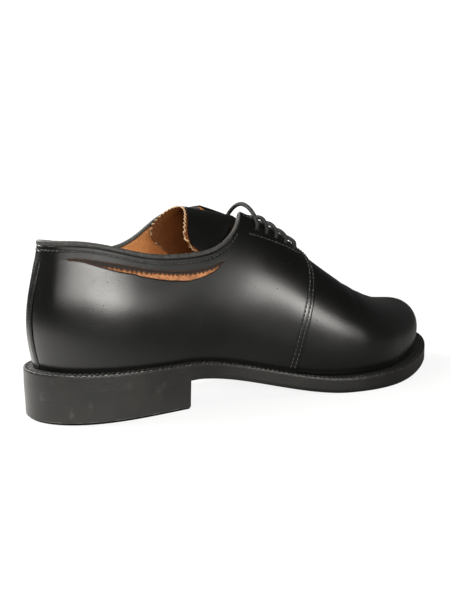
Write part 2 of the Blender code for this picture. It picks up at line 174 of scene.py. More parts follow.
# Slash under the collar band: depth of its upper and lower lip under the topline
SlashRow = namedtuple("SlashRow", "along upper lower")
SLASH = [
    SlashRow(11, 9.2, 9.5),
    SlashRow(21, 9.0, 9.9),
    SlashRow(30, 9.1, 11.4),
    SlashRow(46, 8.6, 12.3),
    SlashRow(61, 8.4, 12.7),
    SlashRow(74, 9.0, 13.9),
    SlashRow(84, 9.7, 14.5),
    SlashRow(98, 10.0, 13.8),
    SlashRow(112, 10.0, 10.6),
]
SLASH_BACK, SLASH_FRONT = SLASH[0].along, SLASH[-1].along

# Front edge of a quarter: place along the shoe against the share of the section's length
FrontRow = namedtuple("FrontRow", "share along")
FRONT = [
    FrontRow(0.0, 156.0),
    FrontRow(0.25, 160.5),
    FrontRow(0.5, 167.0),
    FrontRow(0.75, 174.0),
    FrontRow(0.9, 176.5),
    FrontRow(0.96, 174.5),
    FrontRow(1.0, 168.0),
]

# Pinked tape in the slash: depth of its valleys under the upper lip and height of its teeth
TAPE_PITCH = 2.9
TapeRow = namedtuple("TapeRow", "along valley tooth")
TAPE = [
    TapeRow(20, 2.7, 0.9),
    TapeRow(42, 2.4, 1.1),
    TapeRow(52, 1.9, 1.5),
    TapeRow(66, 1.3, 1.3),
    TapeRow(SLASH_FRONT, 1.3, 1.1),
]

# Soft creases of the vamp: start and end lie across it, from the outer foot, 0, to the inner, 2
Crease = namedtuple("Crease", "along depth width start end")
CREASES = [
    Crease(203, 0.34, 3.4, 0.42, 1.25),
    Crease(211, 0.42, 2.8, 0.66, 1.62),
    Crease(219, 0.24, 3.6, 0.5, 1.1),
]

# Rubbed spots of each piece
Scuff = namedtuple("Scuff", "x y z radius strength")
QUARTER_SCUFFS = [
    Scuff(27, 21, 86, 3, 0.7),
    Scuff(29, 27, 85, 3, 0.6),
    Scuff(20, 9, 88, 4, 0.3),
    Scuff(34, 60, 84, 9, 0.2),
]
VAMP_SCUFFS = [
    Scuff(-8, 300, 20, 9, 0.15),
    Scuff(46, 235, 22, 8, 0.12),
]
BINDING_SCUFFS = [
    Scuff(22, 3, 96, 4, 0.7),
    Scuff(33, 40, 93, 5, 0.45),
    Scuff(35, 62, 89, 5, 0.5),
    Scuff(34, 92, 89, 6, 0.5),
]
STRIP_SCUFFS = [
    Scuff(3.9, 1.5, 83, 1.8, 0.8),
    Scuff(4.1, 1.5, 78, 1.6, 0.7),
    Scuff(3.6, 1, 72, 1.4, 0.4),
    Scuff(0, 0, 50, 9, 0.05),
]
EDGE_SCUFFS = [
    Scuff(12.8, 3.4, 14.5, 1.7, 0.3),
    Scuff(13.9, 3.9, 8.5, 0.5, 0.9),
    Scuff(25, 15, 7.2, 1.5, 0.3),
    Scuff(22.8, 11.7, 24.5, 1.2, 0.25),
    Scuff(18.2, 6.7, 24, 0.9, 0.25),
    Scuff(29.9, 23.7, 10, 1.2, 0.2),
    Scuff(33.7, 44.4, 20.2, 1.3, 0.25),
    Scuff(33.7, 61.7, 14.8, 2.0, 0.2),
    Scuff(33.5, 65.5, 18, 1.1, 0.2),
    Scuff(-31, 30, 12, 1.6, 0.3),
    Scuff(-33, 62, 20, 1.4, 0.3),
    Scuff(50, 215, 6, 2.0, 0.3),
    Scuff(-47, 208, 5, 2.2, 0.3),
]


def spline(knots, values):
    """Natural cubic spline through the points, as a function that takes an array."""
    knots, values = np.array(knots, float), np.array(values, float)
    step = np.diff(knots)
    system = np.eye(len(knots))
    pull = np.zeros(len(knots))
    for i in range(1, len(knots) - 1):
        system[i, i - 1 : i + 2] = step[i - 1], 2 * (step[i - 1] + step[i]), step[i]
        rise = np.diff(values[i - 1 : i + 2]) / step[i - 1 : i + 1]
        pull[i] = 6 * (rise[1] - rise[0])
    bend = np.linalg.solve(system, pull)

    def at(x):
        x = np.clip(x, knots[0], knots[-1])
        i = np.clip(np.searchsorted(knots, x) - 1, 0, len(step) - 1)
        a = (knots[i + 1] - x) / step[i]
        b = 1 - a
        bow = (a**3 - a) * bend[i] + (b**3 - b) * bend[i + 1]
        return a * values[i] + b * values[i + 1] + bow * step[i] ** 2 / 6

    return at


def column(rows, name, place=float):
    """One column of a table as a spline along the shoe."""
    return spline([place(row.along) for row in rows], [getattr(row, name) for row in rows])


def turn(along):
    """Angle from the heel, 0, to the toe, pi, that rounds off both ends of the sole's outline."""
    return np.arccos(np.clip(1 - 2 * np.asarray(along, float) / SOLE_LENGTH, -1, 1))


def along_at(angle):
    """Place along the shoe at an angle of turn()."""
    return SOLE_LENGTH * (1 - np.cos(angle)) / 2


SOLE_CENTRE = column(SOLE, "centre", turn)
SOLE_HALF = column(SOLE, "half_width", turn)
LAST_AT = {name: column(LAST, name) for name in LastRow._fields[1:]}
TOPLINE_AT = {OUTER: column(TOPLINE, "outer"), INNER: column(TOPLINE, "inner")}
SLASH_UPPER, SLASH_LOWER = column(SLASH, "upper"), column(SLASH, "lower")
TONGUE_HALF = column(TONGUE_ROWS, "half_width")
FRONT_EDGE = spline([row.share for row in FRONT], [row.along for row in FRONT])


def ease(x, low, high):
    """Smooth step from 0 at low to 1 at high: 3t^2 - 2t^3."""
    t = np.clip((x - low) / (high - low), 0, 1)
    return t * t * (3 - 2 * t)


def hump(x, width):
    """Bell curve: e to the minus (x over width) squared."""
    return np.exp(-((x / width) ** 2))


def wander(x, length, seed):
    """Irregular line: sum of five sines of falling length and size, with phases from a fixed seed."""
    dice = np.random.default_rng(seed)
    shrink = np.array([1, 0.63, 0.41, 0.27, 0.17])
    phase = dice.uniform(0, 2 * np.pi, len(shrink))
    waves = np.sin(2 * np.pi * np.asarray(x, float)[..., None] / (length * shrink) + phase)
    return (waves * shrink).sum(-1) / shrink.sum()


def saw(x, pitch):
    """Triangle wave from 0 to 1 and back."""
    return np.abs(2 * ((x / pitch) % 1) - 1)


def tread(along):
    """Height of the outsole's underside: heel seat, waist, flat tread and toe spring."""
    along = np.asarray(along, float)
    seat = HEEL_BLOCK - HEEL_PITCH * along
    span = TREAD_START - HEEL_BREAST
    t = np.clip((along - HEEL_BREAST) / span, 0, 1)
    breast = HEEL_BLOCK - HEEL_PITCH * HEEL_BREAST
    waist = breast * (1 + 2 * t) * (1 - t) ** 2 - HEEL_PITCH * span * t * (1 - t) ** 2
    spring = TOE_SPRING * np.clip((along - TREAD_END) / (SOLE_LENGTH - TREAD_END), 0, 1) ** 2
    return np.where(along < HEEL_BREAST, seat, waist) + spring


def welt_foot(along):
    """Height that the welt lies on."""
    return tread(along) + OUTSOLE + GAP


def upper_foot(along):
    """Height that the upper stands on."""
    return welt_foot(along) + WELT + GAP


def spine(along):
    """Place on the middle line that a section is drawn from, so that the ends fan out."""
    along = np.asarray(along, float)
    back = np.clip(HEEL_FAN - along, 0, None) ** 2 / (2 * HEEL_FAN)
    front = np.clip(along - TOE_FAN, 0, None) ** 2 / (2 * (SOLE_LENGTH - TOE_FAN))
    return along + (1 - FAN_SLOPE) * (back - front)


def wall_share(along):
    """How much of a section is straight wall, at the heel, instead of dome, at the instep."""
    return 1 - ease(along, WALL_END, DOME_START)


def half_gap(along):
    """Half the gap between the two facings, rounded off at the foot of the throat."""
    t = (along - FACING_TOP) / (FACING_FOOT - FACING_TOP)
    straight = GAP_TOP + (GAP_FOOT - GAP_TOP) * t
    closing = np.clip((along - THROAT_END + THROAT_ROUND) / THROAT_ROUND, 0, 1)
    return straight * np.sqrt(1 - closing**2)


def frame_of(side, along):
    """Middle point, outward direction and reach of the sections at these places."""
    along = np.asarray(along, float)
    middle_y = spine(along)
    middle_x = SOLE_CENTRE(turn(middle_y))
    out_x = SOLE_CENTRE(turn(along)) + side * SOLE_HALF(turn(along)) - middle_x
    out_y = along - middle_y
    reach = np.hypot(out_x, out_y)
    return middle_x, middle_y, out_x / reach, out_y / reach, reach


def inset_point(side, along, inset, height):
    """Points that lie inside the sole's edge by the inset, at this height."""
    middle_x, middle_y, out_x, out_y, reach = frame_of(side, along)
    reach = reach - inset
    return np.stack([middle_x + out_x * reach, middle_y + out_y * reach, height + 0 * reach], -1)


def opening_turns(side, along, reach, out_x, bulge, rise, roundness):
    """Angles up the dome at which each section meets the topline and the facing."""
    top = TOPLINE_AT[side](along) - upper_foot(along)
    share = np.clip((top - bulge) / rise, 0, 1)
    collar = np.arcsin(share ** (roundness / 2))
    collar = np.where(along >= TOPLINE_LAST, np.pi / 2, collar)
    gap = np.clip(half_gap(along) / np.maximum(np.abs(out_x * reach), 1), 0, 1)
    facing = np.arccos(gap ** (roundness / 2))
    open_throat = (along > FACING_BACK) & (along < THROAT_END)
    return collar, np.where(open_throat, facing, np.pi / 2)


def last_rows(along):
    """Columns of the last's table at these places, with the height of its foot and of its dome."""
    row = {name: at(along) for name, at in LAST_AT.items()}
    row["foot"] = upper_foot(along)
    row["rise"] = row["ridge"] - row["foot"] - row["bulge"]
    return row


def rib_lines(side, along, low=24, high=72):
    """Close-set points up each section of the last, and whether it ends at the facing.

    The wall follows a sine squared about its widest line. The dome is a superellipse quarter.
    """
    along = along[:, None]
    middle_x, middle_y, out_x, out_y, reach = frame_of(side, along)
    row = last_rows(along)
    reach = reach - row["inset"]
    foot, rise = row["foot"], row["rise"]
    collar, facing = opening_turns(side, along, reach, out_x, row["bulge"], rise, row["roundness"])
    below = np.linspace(0, 1, low)[None, :-1]
    angle = np.minimum(collar, facing) * np.linspace(0, 1, high)[None, :]
    power = 2 / row["roundness"]
    height = np.hstack([row["bulge"] * below, row["bulge"] + rise * np.sin(angle) ** power])
    dome = np.hstack(
        [reach - row["tuck"] * (1 - below) ** 2, reach * np.clip(np.cos(angle), 0, 1) ** power]
    )
    swing = np.clip(height - row["bulge"], -LEAN_HEIGHT, LEAN_HEIGHT)
    wall = reach - row["lean"] * np.sin(np.pi * swing / (2 * LEAN_HEIGHT)) ** 2
    straight = wall_share(along)
    out = straight * wall + (1 - straight) * dome
    points = np.stack([middle_x + out_x * out, middle_y + out_y * out, foot + height], -1)
    return points, (facing < collar)[:, 0]


def unit(vectors):
    """Vectors of the same directions and of length 1."""
    return vectors / np.linalg.norm(vectors, axis=-1, keepdims=True)


def run_along(line):
    """Distance walked along a line of points, from 0 at its first point."""
    return np.concatenate([[0], np.cumsum(np.linalg.norm(np.diff(line, axis=0), axis=1))])


def columns_at(asked, known, table):
    """Columns of a table, known at some places, at the places asked for."""
    return np.stack([np.interp(asked, known, values) for values in table.T], -1)


def curve_at(asked, known, line):
    """Spline through a line of points, known at some distances, at the distances asked for."""
    return np.stack([spline(known, values)(asked) for values in line.T], -1)


class LastSide:
    """One side of the last as a fine table of points and outward directions.

    Rows are angles from heel to toe. Columns are shares of each section's length, from its foot to
    the edge of the opening. Places between are found by bilinear interpolation, and those past the
    edge by carrying the last cell on.
    """

    angles, shares = 1601, 321

    def __init__(self, side):
        self.side = side
        self.angle = np.linspace(0, np.pi, self.angles)
        along = along_at(self.angle)
        lines, at_facing = rib_lines(side, along)
        self.corner = along[at_facing][0]
        step = np.linalg.norm(np.diff(lines, axis=1), axis=2)
        run = np.concatenate([np.zeros((self.angles, 1)), np.cumsum(step, axis=1)], axis=1)
        self.length = run[:, -1]
        row = 2.0 * np.arange(self.angles)[:, None]
        known = (run / self.length[:, None] + row).ravel()
        asked = np.linspace(0, 1, self.shares)[None] + row
        self.points = columns_at(asked, known, lines.reshape(-1, 3))
        ahead = np.gradient(self.points, axis=0)
        upward = np.gradient(self.points, axis=1)
        self.out = side * np.cross(ahead, upward)
        self.out[0, :, 0] = 0
        self.out[-1, -1] = self.out[-1, -2]
        self.out = unit(self.out)

    def cell(self, table, angle, share):
        """Bilinear value of a table."""
        i = np.asarray(angle, float) / np.pi * (self.angles - 1)
        j = np.asarray(share, float) * (self.shares - 1)
        i, j = np.broadcast_arrays(i, j)
        p = np.clip(i.astype(int), 0, self.angles - 2)
        q = np.clip(np.floor(j).astype(int), 0, self.shares - 2)
        a, b = (i - p)[..., None], (j - q)[..., None]
        low = (1 - a) * table[p, q] + a * table[p + 1, q]
        high = (1 - a) * table[p, q + 1] + a * table[p + 1, q + 1]
        return (1 - b) * low + b * high

    def normal(self, angle, share):
        """Outward direction at these places."""
        return unit(self.cell(self.out, angle, np.clip(share, 0, 1)))

    def at(self, angle, share, lift=0.0):
        """Points lifted off the last along its outward direction."""
        lift = np.asarray(lift, float)[..., None]
        return self.cell(self.points, angle, share) + lift * self.normal(angle, share)

    def length_at(self, angle):
        """Length of the section from its foot to the edge of the opening."""
        return np.interp(angle, self.angle, self.length)

    def share_at(self, angle, depth):
        """Share of the section's length at this depth below the edge of the opening."""
        return 1 - depth / self.length_at(angle)


LASTS = {side: LastSide(side) for side in SIDES}


def join_toe():
    """Gives both sides the same outward directions where they meet, at the toe and on the ridge.

    The sections of the toe fan out from the ridge's end, so directions turn upright towards it.
    """
    outer, inner = LASTS[OUTER], LASTS[INNER]
    along = along_at(outer.angle)
    share = np.linspace(0, 1, outer.shares)
    level = ease(share, 0.86, 0.98) * ease(along[:, None], SOLE_LENGTH - 32, SOLE_LENGTH - 8)
    level = level[..., None]
    for last in (outer, inner):
        last.out = unit(last.out * (1 - level) + level * [0, 0, 1])
    toe = unit(outer.out[-1] + inner.out[-1])
    outer.out[-1] = toe
    inner.out[-1] = toe
    front = along > THROAT_END
    ridge = unit(outer.out[front, -1] + inner.out[front, -1])
    outer.out[front, -1] = ridge
    inner.out[front, -1] = ridge


join_toe()


def box_centre():
    """Middle of the sole's outline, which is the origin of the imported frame."""
    along = np.linspace(0, SOLE_LENGTH, 400)
    outer = SOLE_CENTRE(turn(along)) + SOLE_HALF(turn(along))
    inner = SOLE_CENTRE(turn(along)) - SOLE_HALF(turn(along))
    return np.array([(outer.max() + inner.min()) / 2, SOLE_LENGTH / 2, 0])


ORIGIN = box_centre()


def to_world(points):
    """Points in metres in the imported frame."""
    return (np.asarray(points) - ORIGIN) * METRES


def stations(count, start=0.0, end=SOLE_LENGTH):
    """Places along the shoe, closer together at the round ends."""
    return along_at(np.linspace(turn(start), turn(end), count))


def grid_faces(rows, columns, closed=False, flip=False):
    """Quads of a grid of points kept row by row."""
    index = np.arange(rows * columns).reshape(rows, columns)
    if closed:
        index = np.concatenate([index, index[:, :1]], axis=1)
    corners = [index[:-1, :-1], index[:-1, 1:], index[1:, 1:], index[1:, :-1]]
    return np.stack(corners[::-1] if flip else corners, -1).reshape(-1, 4)


def make_piece(name, points, faces, finish, fields=None, uv=None, thickness=0.0, sharp=40.0):
    """Object of these points and faces, welded, given its thickness inwards and smoothed.

    Fields are values on the points that its finish reads by name. Edges that turn by more than the
    sharp angle, in degrees, stay sharp.
    """
    mesh = bpy.data.meshes.new(name)
    faces = faces.tolist() if isinstance(faces, np.ndarray) else faces
    mesh.from_pydata(to_world(points).reshape(-1, 3).tolist(), [], faces)
    for field, values in (fields or {}).items():
        mesh.attributes.new(field, "FLOAT", "POINT").data.foreach_set("value", np.ravel(values))
    if uv is not None:
        corner = np.empty(len(mesh.loops), int)
        mesh.loops.foreach_get("vertex_index", corner)
        mesh.uv_layers.new(name="UVMap").data.foreach_set("uv", uv.reshape(-1, 2)[corner].ravel())
    work = bmesh.new()
    work.from_mesh(mesh)
    bmesh.ops.remove_doubles(work, verts=work.verts, dist=WELD * METRES)
    work.to_mesh(mesh)
    work.free()
    mesh.materials.append(finish)
    piece = bpy.data.objects.new(name, mesh)
    bpy.context.scene.collection.objects.link(piece)
    if thickness:
        wall = piece.modifiers.new("wall", "SOLIDIFY")
        wall.thickness = thickness * METRES
        wall.offset = -1
        graph = bpy.context.evaluated_depsgraph_get()
        mesh = bpy.data.meshes.new_from_object(piece.evaluated_get(graph))
        piece.modifiers.clear()
        piece.data = mesh
    mesh.shade_smooth()
    mesh.set_sharp_from_angle(angle=np.radians(sharp))
    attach(piece, "root")
    return piece


def sweep(path, across, upward, profile):
    """Points of a closed profile carried along a path: path + profile's x across + its y upward."""
    return path[:, None] + profile[..., :1] * across[:, None] + profile[..., 1:] * upward[:, None]


def tube_faces(rings, around):
    """Quads between rings and a cap on each end."""
    quads = grid_faces(rings, around, closed=True, flip=True).tolist()
    first = list(range(around))
    last = [(rings - 1) * around + k for k in range(around)]
    return quads + [first, last[::-1]]


# Shaders


class Value:
    """Socket of a shader that takes part in Python sums: each + or * adds a Math node."""

    def __init__(self, finish, socket):
        self.finish, self.socket = finish, socket

    def __add__(self, other):
        return self.finish.node("ShaderNodeMath", {"operation": "ADD"}, {0: self, 1: other})

    def __mul__(self, other):
        return self.finish.node("ShaderNodeMath", {"operation": "MULTIPLY"}, {0: self, 1: other})

    __radd__ = __add__
    __rmul__ = __mul__


class Finish:
    """One material, made up of nodes that feed its Principled shader."""

    def __init__(self, name, **constants):
        self.material = bpy.data.materials.new(name)
        self.material.use_nodes = True
        self.tree = self.material.node_tree
        self.shader = self.tree.nodes["Principled BSDF"]
        self.dress(**constants)

    def put(self, socket, value):
        """Links a value to a socket, or sets a number or a colour on it."""
        if isinstance(value, Value):
            self.tree.links.new(value.socket, socket)
        elif socket.type == "RGBA" and len(value) == 3:
            socket.default_value = (*value, 1)
        else:
            socket.default_value = value

    def node(self, kind, settings=None, sockets=None, output=0):
        """Any node: its settings are set first, then the values or links of its sockets."""
        node = self.tree.nodes.new(kind)
        for name, value in (settings or {}).items():
            setattr(node, name, value)
        for name, value in (sockets or {}).items():
            self.put(node.inputs[name], value)
        return Value(self, node.outputs[output])

    def place(self, scale=(1, 1, 1), source="Object", turned=(0, 0, 0)):
        """Place on the piece, in metres, or on its UV map, turned and stretched by the scale."""
        where = self.node("ShaderNodeTexCoord", output=source)
        sockets = {"Vector": where, "Scale": scale, "Rotation": turned}
        return self.node("ShaderNodeMapping", None, sockets)

    def noise(self, where, scale, detail=4.0, rough=0.55):
        """Cloudy value about 0.5."""
        sockets = {"Vector": where, "Scale": scale, "Detail": detail, "Roughness": rough}
        return self.node("ShaderNodeTexNoise", None, sockets)

    def cells(self, where, scale):
        """Distance to the nearest of many scattered points."""
        return self.node("ShaderNodeTexVoronoi", None, {"Vector": where, "Scale": scale})

    def ease(self, value, low, high):
        """Smooth step of a value from 0 at low to 1 at high."""
        sockets = {"Value": value, "From Min": low, "From Max": high}
        return self.node("ShaderNodeMapRange", {"interpolation_type": "SMOOTHSTEP"}, sockets)

    def mix(self, share, first, second):
        """Colour between two colours."""
        sockets = {0: share, 6: first, 7: second}
        return self.node("ShaderNodeMix", {"data_type": "RGBA"}, sockets, output=2)

    def field(self, name):
        """Value that the piece keeps on its points."""
        return self.node("ShaderNodeAttribute", {"attribute_name": name}, output=2)

    def bump(self, height, depth):
        """Surface direction bent by a height, in units of the depth, in metres."""
        sockets = {"Height": height, "Distance": depth, "Strength": 1.0}
        return self.node("ShaderNodeBump", None, sockets)

    def dress(self, **sockets):
        """Feeds the shader's sockets, each named with _ for a space, and gives the material."""
        for socket, value in sockets.items():
            self.put(self.shader.inputs[socket.replace("_", " ")], value)
        return self.material


def calf_finish(name, gloss=0.155, raw=False):
    """Black smooth calf: fine pores and scratches, cloudy gloss, pale rubbed spots, brown raw edges.

    Where the piece's dull value is 1, as on the collar band, it is less glossy. In the eyelets' holes
    and in the groove under the binding the colour is painted near black as shade.
    """
    leather = Finish(name, Specular_IOR_Level=0.5)
    where = leather.place()
    cloud = leather.noise(where, 38, 3)
    grain = leather.noise(where, 1500, 3, 0.6)
    pores = leather.cells(where, 1100)
    scratch = leather.noise(leather.place((260, 1900, 900), turned=(0.5, 0.2, 0.7)), 1, 2)
    rubbed = leather.field("scuff") * leather.ease(leather.noise(where, 900, 5, 0.7), 0.42, 0.66)
    speck = leather.ease(leather.noise(where, 520, 3, 0.5), 0.69, 0.76)
    line = leather.noise(leather.place((70, 950, 60), turned=(0.9, 0.3, 0.5)), 1, 2, 0.4)
    marks = 0.8 * speck + 0.5 * leather.ease(line, 0.69, 0.76) * leather.ease(cloud, 0.45, 0.65)
    colour = leather.mix(cloud, (0.0028, 0.0029, 0.0028), (0.0044, 0.0043, 0.004))
    colour = leather.mix(rubbed, colour, (0.19, 0.185, 0.175))
    if raw:
        lip = leather.field("raw") * leather.ease(leather.noise(where, 420, 4, 0.6), 0.3, 0.55)
        colour = leather.mix(lip, colour, (0.12, 0.042, 0.018))
        # painted shade: eyelet holes and the groove under the binding turned near black
        colour = leather.mix(leather.field("hole_shade"), colour, (0.002, 0.002, 0.002))
    height = grain * 0.5 + pores * 0.4 + scratch * 0.3
    matt = gloss + 0.12 * cloud + 0.05 * grain + rubbed * 0.25 + marks * 0.14
    return leather.dress(
        Base_Color=colour,
        Roughness=matt + leather.field("dull") * 0.26,
        Normal=leather.bump(height, 0.000031),
    )


def binding_finish(name):
    """Binding strip: matt black leather whose sheen is painted in as a grey base colour, finely
    wrinkled across its run with the wrinkles' ridges painted paler as highlights, rubbed pale in spots.
    """
    leather = Finish(name, Specular_IOR_Level=0.4)
    where = leather.place()
    wrinkle = leather.noise(leather.place((1.1, 0.22, 1), source="UV"), 1, 4, 0.65)
    mottle = leather.noise(where, 700, 4, 0.65)
    rubbed = leather.field("scuff") * leather.ease(mottle, 0.44, 0.64)
    # painted highlight: paler ridges of the wrinkles and a grey base stand in for the binding's sheen
    ridge = leather.ease(wrinkle, 0.35, 0.7)
    colour = leather.mix(ridge, (0.017, 0.0168, 0.016), (0.036, 0.035, 0.033))
    colour = leather.mix(rubbed, colour, (0.2, 0.195, 0.18))
    return leather.dress(
        Base_Color=colour,
        Roughness=0.44 + 0.14 * mottle,
        Normal=leather.bump(wrinkle + mottle * 0.4, 0.00022),
    )


def dressing_finish(name, shine=0.4):
    """Edge of sole and heel: black dressing brushed along the edge, rubbed grey in spots.

    Where the piece's deep value is 1, as on the welt's top and on the heel's top piece, the colour is
    painted near black as the shade under the upper and under the heel, and the leather is matt.
    """
    edge = Finish(name, Specular_IOR_Level=shine)
    where = edge.place()
    deep = edge.field("deep")
    lines = edge.noise(edge.place((22, 22, 1500)), 1, 4, 0.65)
    patch = edge.noise(where, 55, 4, 0.6)
    fleck = edge.ease(edge.noise(edge.place((260, 260, 420)), 1, 5, 0.7), 0.63, 0.74)
    colour = edge.mix(edge.ease(patch, 0.4, 0.75), (0.0065, 0.0064, 0.006), (0.0115, 0.0102, 0.0086))
    colour = edge.mix(edge.ease(lines, 0.5, 0.8) * 0.3, colour, (0.02, 0.019, 0.017))
    colour = edge.mix(fleck * 0.3, colour, (0.05, 0.047, 0.042))
    # painted shade: near black on the welt's top under the upper and on the heel's top piece
    colour = edge.mix(deep, colour, (0.0022, 0.0022, 0.0021))
    # rubbed wear, and on the welt's rim also painted highlights: pale dashes between the notches
    worn = edge.field("worn") * edge.ease(edge.noise(where, 420, 5, 0.7), 0.36, 0.6)
    colour = edge.mix(worn, colour, (0.26, 0.24, 0.22))
    return edge.dress(
        Base_Color=colour,
        Roughness=0.34 + 0.1 * patch + 0.1 * fleck + worn * 0.25 + deep * 0.35,
        Normal=edge.bump(lines * 0.4 + edge.noise(where, 900, 3) * 0.5, 0.00014),
    )


def lining_finish(name, light, dark, soil):
    """Tan lining leather: cloudy colour, fine grain, soiled in spots and streaks."""
    leather = Finish(name, Specular_IOR_Level=0.35)
    where = leather.place()
    cloud = leather.noise(where, 45, 4, 0.6)
    streak = leather.noise(leather.place((120, 120, 30)), 1, 5, 0.65)
    grain = leather.noise(where, 1300, 4, 0.6)
    colour = leather.mix(leather.ease(cloud, 0.3, 0.72), light, dark)
    mottle = leather.noise(where, 260, 4, 0.65)
    colour = leather.mix(leather.ease(mottle, 0.5, 0.75) * 0.45, colour, soil)
    colour = leather.mix(leather.ease(streak, 0.56, 0.8) * 0.6, colour, soil)
    height = grain * 0.6 + leather.cells(where, 800) * 0.5
    return leather.dress(
        Base_Color=colour, Roughness=0.52 + 0.16 * cloud, Normal=leather.bump(height, 0.00025)
    )


def suede_finish(name):
    """Raw flesh side of the leather: peach orange, mottled, with a short nap."""
    suede = Finish(name, Specular_IOR_Level=0.1, Roughness=0.95, Sheen_Weight=0.35, Sheen_Roughness=0.5)
    where = suede.place()
    mottle = suede.noise(where, 420, 5, 0.65)
    nap = suede.noise(where, 2600, 3, 0.6)
    colour = suede.mix(suede.ease(mottle, 0.32, 0.68), (0.56, 0.235, 0.085), (0.25, 0.085, 0.028))
    colour = suede.mix(suede.ease(nap, 0.45, 0.75) * 0.5, colour, (0.72, 0.42, 0.24))
    blush = suede.ease(suede.noise(where, 900, 4, 0.7), 0.55, 0.72)
    colour = suede.mix(blush * 0.6, colour, (0.62, 0.25, 0.17))
    return suede.dress(Base_Color=colour, Normal=suede.bump(nap + mottle, 0.0004))


def pinked_finish(name):
    """Dark pinked tape: soot black, brown at the cut points."""
    tape = Finish(name, Specular_IOR_Level=0.3, Roughness=0.7)
    where = tape.place()
    fibre = tape.noise(where, 1800, 4, 0.65)
    tip = tape.field("tip") * tape.ease(tape.noise(where, 600, 4), 0.25, 0.5)
    colour = tape.mix(fibre, (0.008, 0.006, 0.005), (0.024, 0.019, 0.015))
    colour = tape.mix(tip, colour, (0.2, 0.075, 0.028))
    return tape.dress(Base_Color=colour, Normal=tape.bump(fibre, 0.0003))


def shaded_tongue_lining_finish(name):
    """Lining of the tongue: tan lining leather painted dark brown as the shade it lies in, with a pale
    cut edge.
    """
    leather = Finish(name, Specular_IOR_Level=0.35)
    where = leather.place()
    cloud = leather.noise(where, 50, 4, 0.6)
    grain = leather.noise(where, 1400, 4, 0.6)
    # painted shade: the tongue's lining is coloured dark brown as the tan lining in shade
    colour = leather.mix(cloud, (0.17, 0.055, 0.012), (0.1, 0.03, 0.007))
    cut = leather.field("cut") * leather.ease(leather.noise(where, 700, 4), 0.2, 0.45)
    colour = leather.mix(cut, colour, (0.5, 0.34, 0.2))
    return leather.dress(
        Base_Color=colour, Roughness=0.5 + 0.15 * cloud, Normal=leather.bump(grain, 0.0003)
    )


def thread_finish(name, light, dark=(0.008, 0.008, 0.008)):
    """Waxed twisted thread, paler where it is rubbed."""
    thread = Finish(name, Specular_IOR_Level=0.5, Roughness=0.45)
    where = thread.place()
    rub = thread.ease(thread.noise(where, 500, 4, 0.6), 0.4, 0.65)
    twist = thread.noise(thread.place((1800, 1800, 1800)), 1, 2)
    return thread.dress(Base_Color=thread.mix(rub, dark, light), Normal=thread.bump(twist, 0.0003))


def lace_finish(name):
    """Round waxed cotton lace: black braid in crossing strands, read from the piece's own UV map."""
    cord = Finish(name, Specular_IOR_Level=0.4, Roughness=0.5)
    wave = {"wave_type": "BANDS", "bands_direction": "DIAGONAL"}
    waves = []
    for way in (1, -1):
        around = cord.place((way, 1, 1), source="UV")
        sockets = {"Vector": around, "Scale": 1.0, "Distortion": 0.4}
        waves.append(cord.node("ShaderNodeTexWave", wave, sockets, output=1))
    strands = waves[0] * waves[1]
    fuzz = cord.noise(cord.place(), 2500, 3)
    colour = cord.mix(strands, (0.006, 0.006, 0.006), (0.02, 0.0195, 0.019))
    return cord.dress(Base_Color=colour, Normal=cord.bump(strands * 0.8 + fuzz * 0.4, 0.0003))


# Middle of the painted pool of light that the floor glows with, in metres
POOL = (-0.06, -0.24, 0.0)


def floor_finish(name):
    """White paper that glows as painted light: lifted to white where it is looked at, and elsewhere a
    glowing pool of light behind the heel.
    """
    paper = Finish(name, Roughness=0.9, Specular_IOR_Level=0.1, Emission_Strength=1.0)
    where = paper.place()
    tone = paper.noise(where, 3, 2)
    seen = paper.node("ShaderNodeLightPath")
    away = paper.node("ShaderNodeVectorMath", {"operation": "DISTANCE"}, {0: where, 1: POOL}, output=1)
    lifted = paper.mix(paper.ease(away, 0.5, 1.4), (0.87, 0.87, 0.87), (1.1, 1.1, 1.1))
    # painted light: the floor glows as a pool of light behind the heel, lighting the shoe
    pool = paper.mix(paper.ease(away, 0.03, 0.31), (1.7, 1.67, 1.6), (0.05, 0.05, 0.05))
    return paper.dress(
        Base_Color=paper.mix(tone, (0.12, 0.12, 0.12), (0.14, 0.14, 0.14)),
        Emission_Color=paper.mix(seen, pool, lifted),
    )


CALF = calf_finish("black_calf", raw=True)
VAMP_CALF = calf_finish("black_vamp_calf", gloss=0.175)
STRIP_CALF = calf_finish("glossy_strip_calf", gloss=0.17)
BINDING_CALF = binding_finish("binding_calf")
DRESSING = dressing_finish("edge_dressing")
SHADE_TOP_PIECE = dressing_finish("heel_top_piece_shade_black", shine=0.05)
LINING = lining_finish("tan_lining", (0.46, 0.18, 0.05), (0.34, 0.12, 0.03), (0.2, 0.062, 0.014))
SOCK = lining_finish("sock_leather", (0.34, 0.14, 0.052), (0.22, 0.08, 0.028), (0.1, 0.034, 0.012))
SUEDE = suede_finish("raw_suede")
PINKED = pinked_finish("pinked_tape")
SHADED_TONGUE_LINING = shaded_tongue_lining_finish("tongue_lining")
THREAD = thread_finish("upper_thread", (0.07, 0.067, 0.063), (0.013, 0.013, 0.012))
WELT_THREAD = thread_finish("welt_thread", (0.05, 0.047, 0.044))
LINING_THREAD = thread_finish("lining_thread", (0.66, 0.44, 0.22), (0.42, 0.22, 0.08))
LACE_CORD = lace_finish("lace_braid")


# Upper


def slash_mid(last, along):
    """Depth of the slash's middle line, run out to nothing at the top corner of the facing."""
    middle = (SLASH_UPPER(along) + SLASH_LOWER(along)) / 2
    return middle * np.clip((last.corner - along) / (last.corner - SLASH_FRONT - 1), 0, 1) ** 0.8


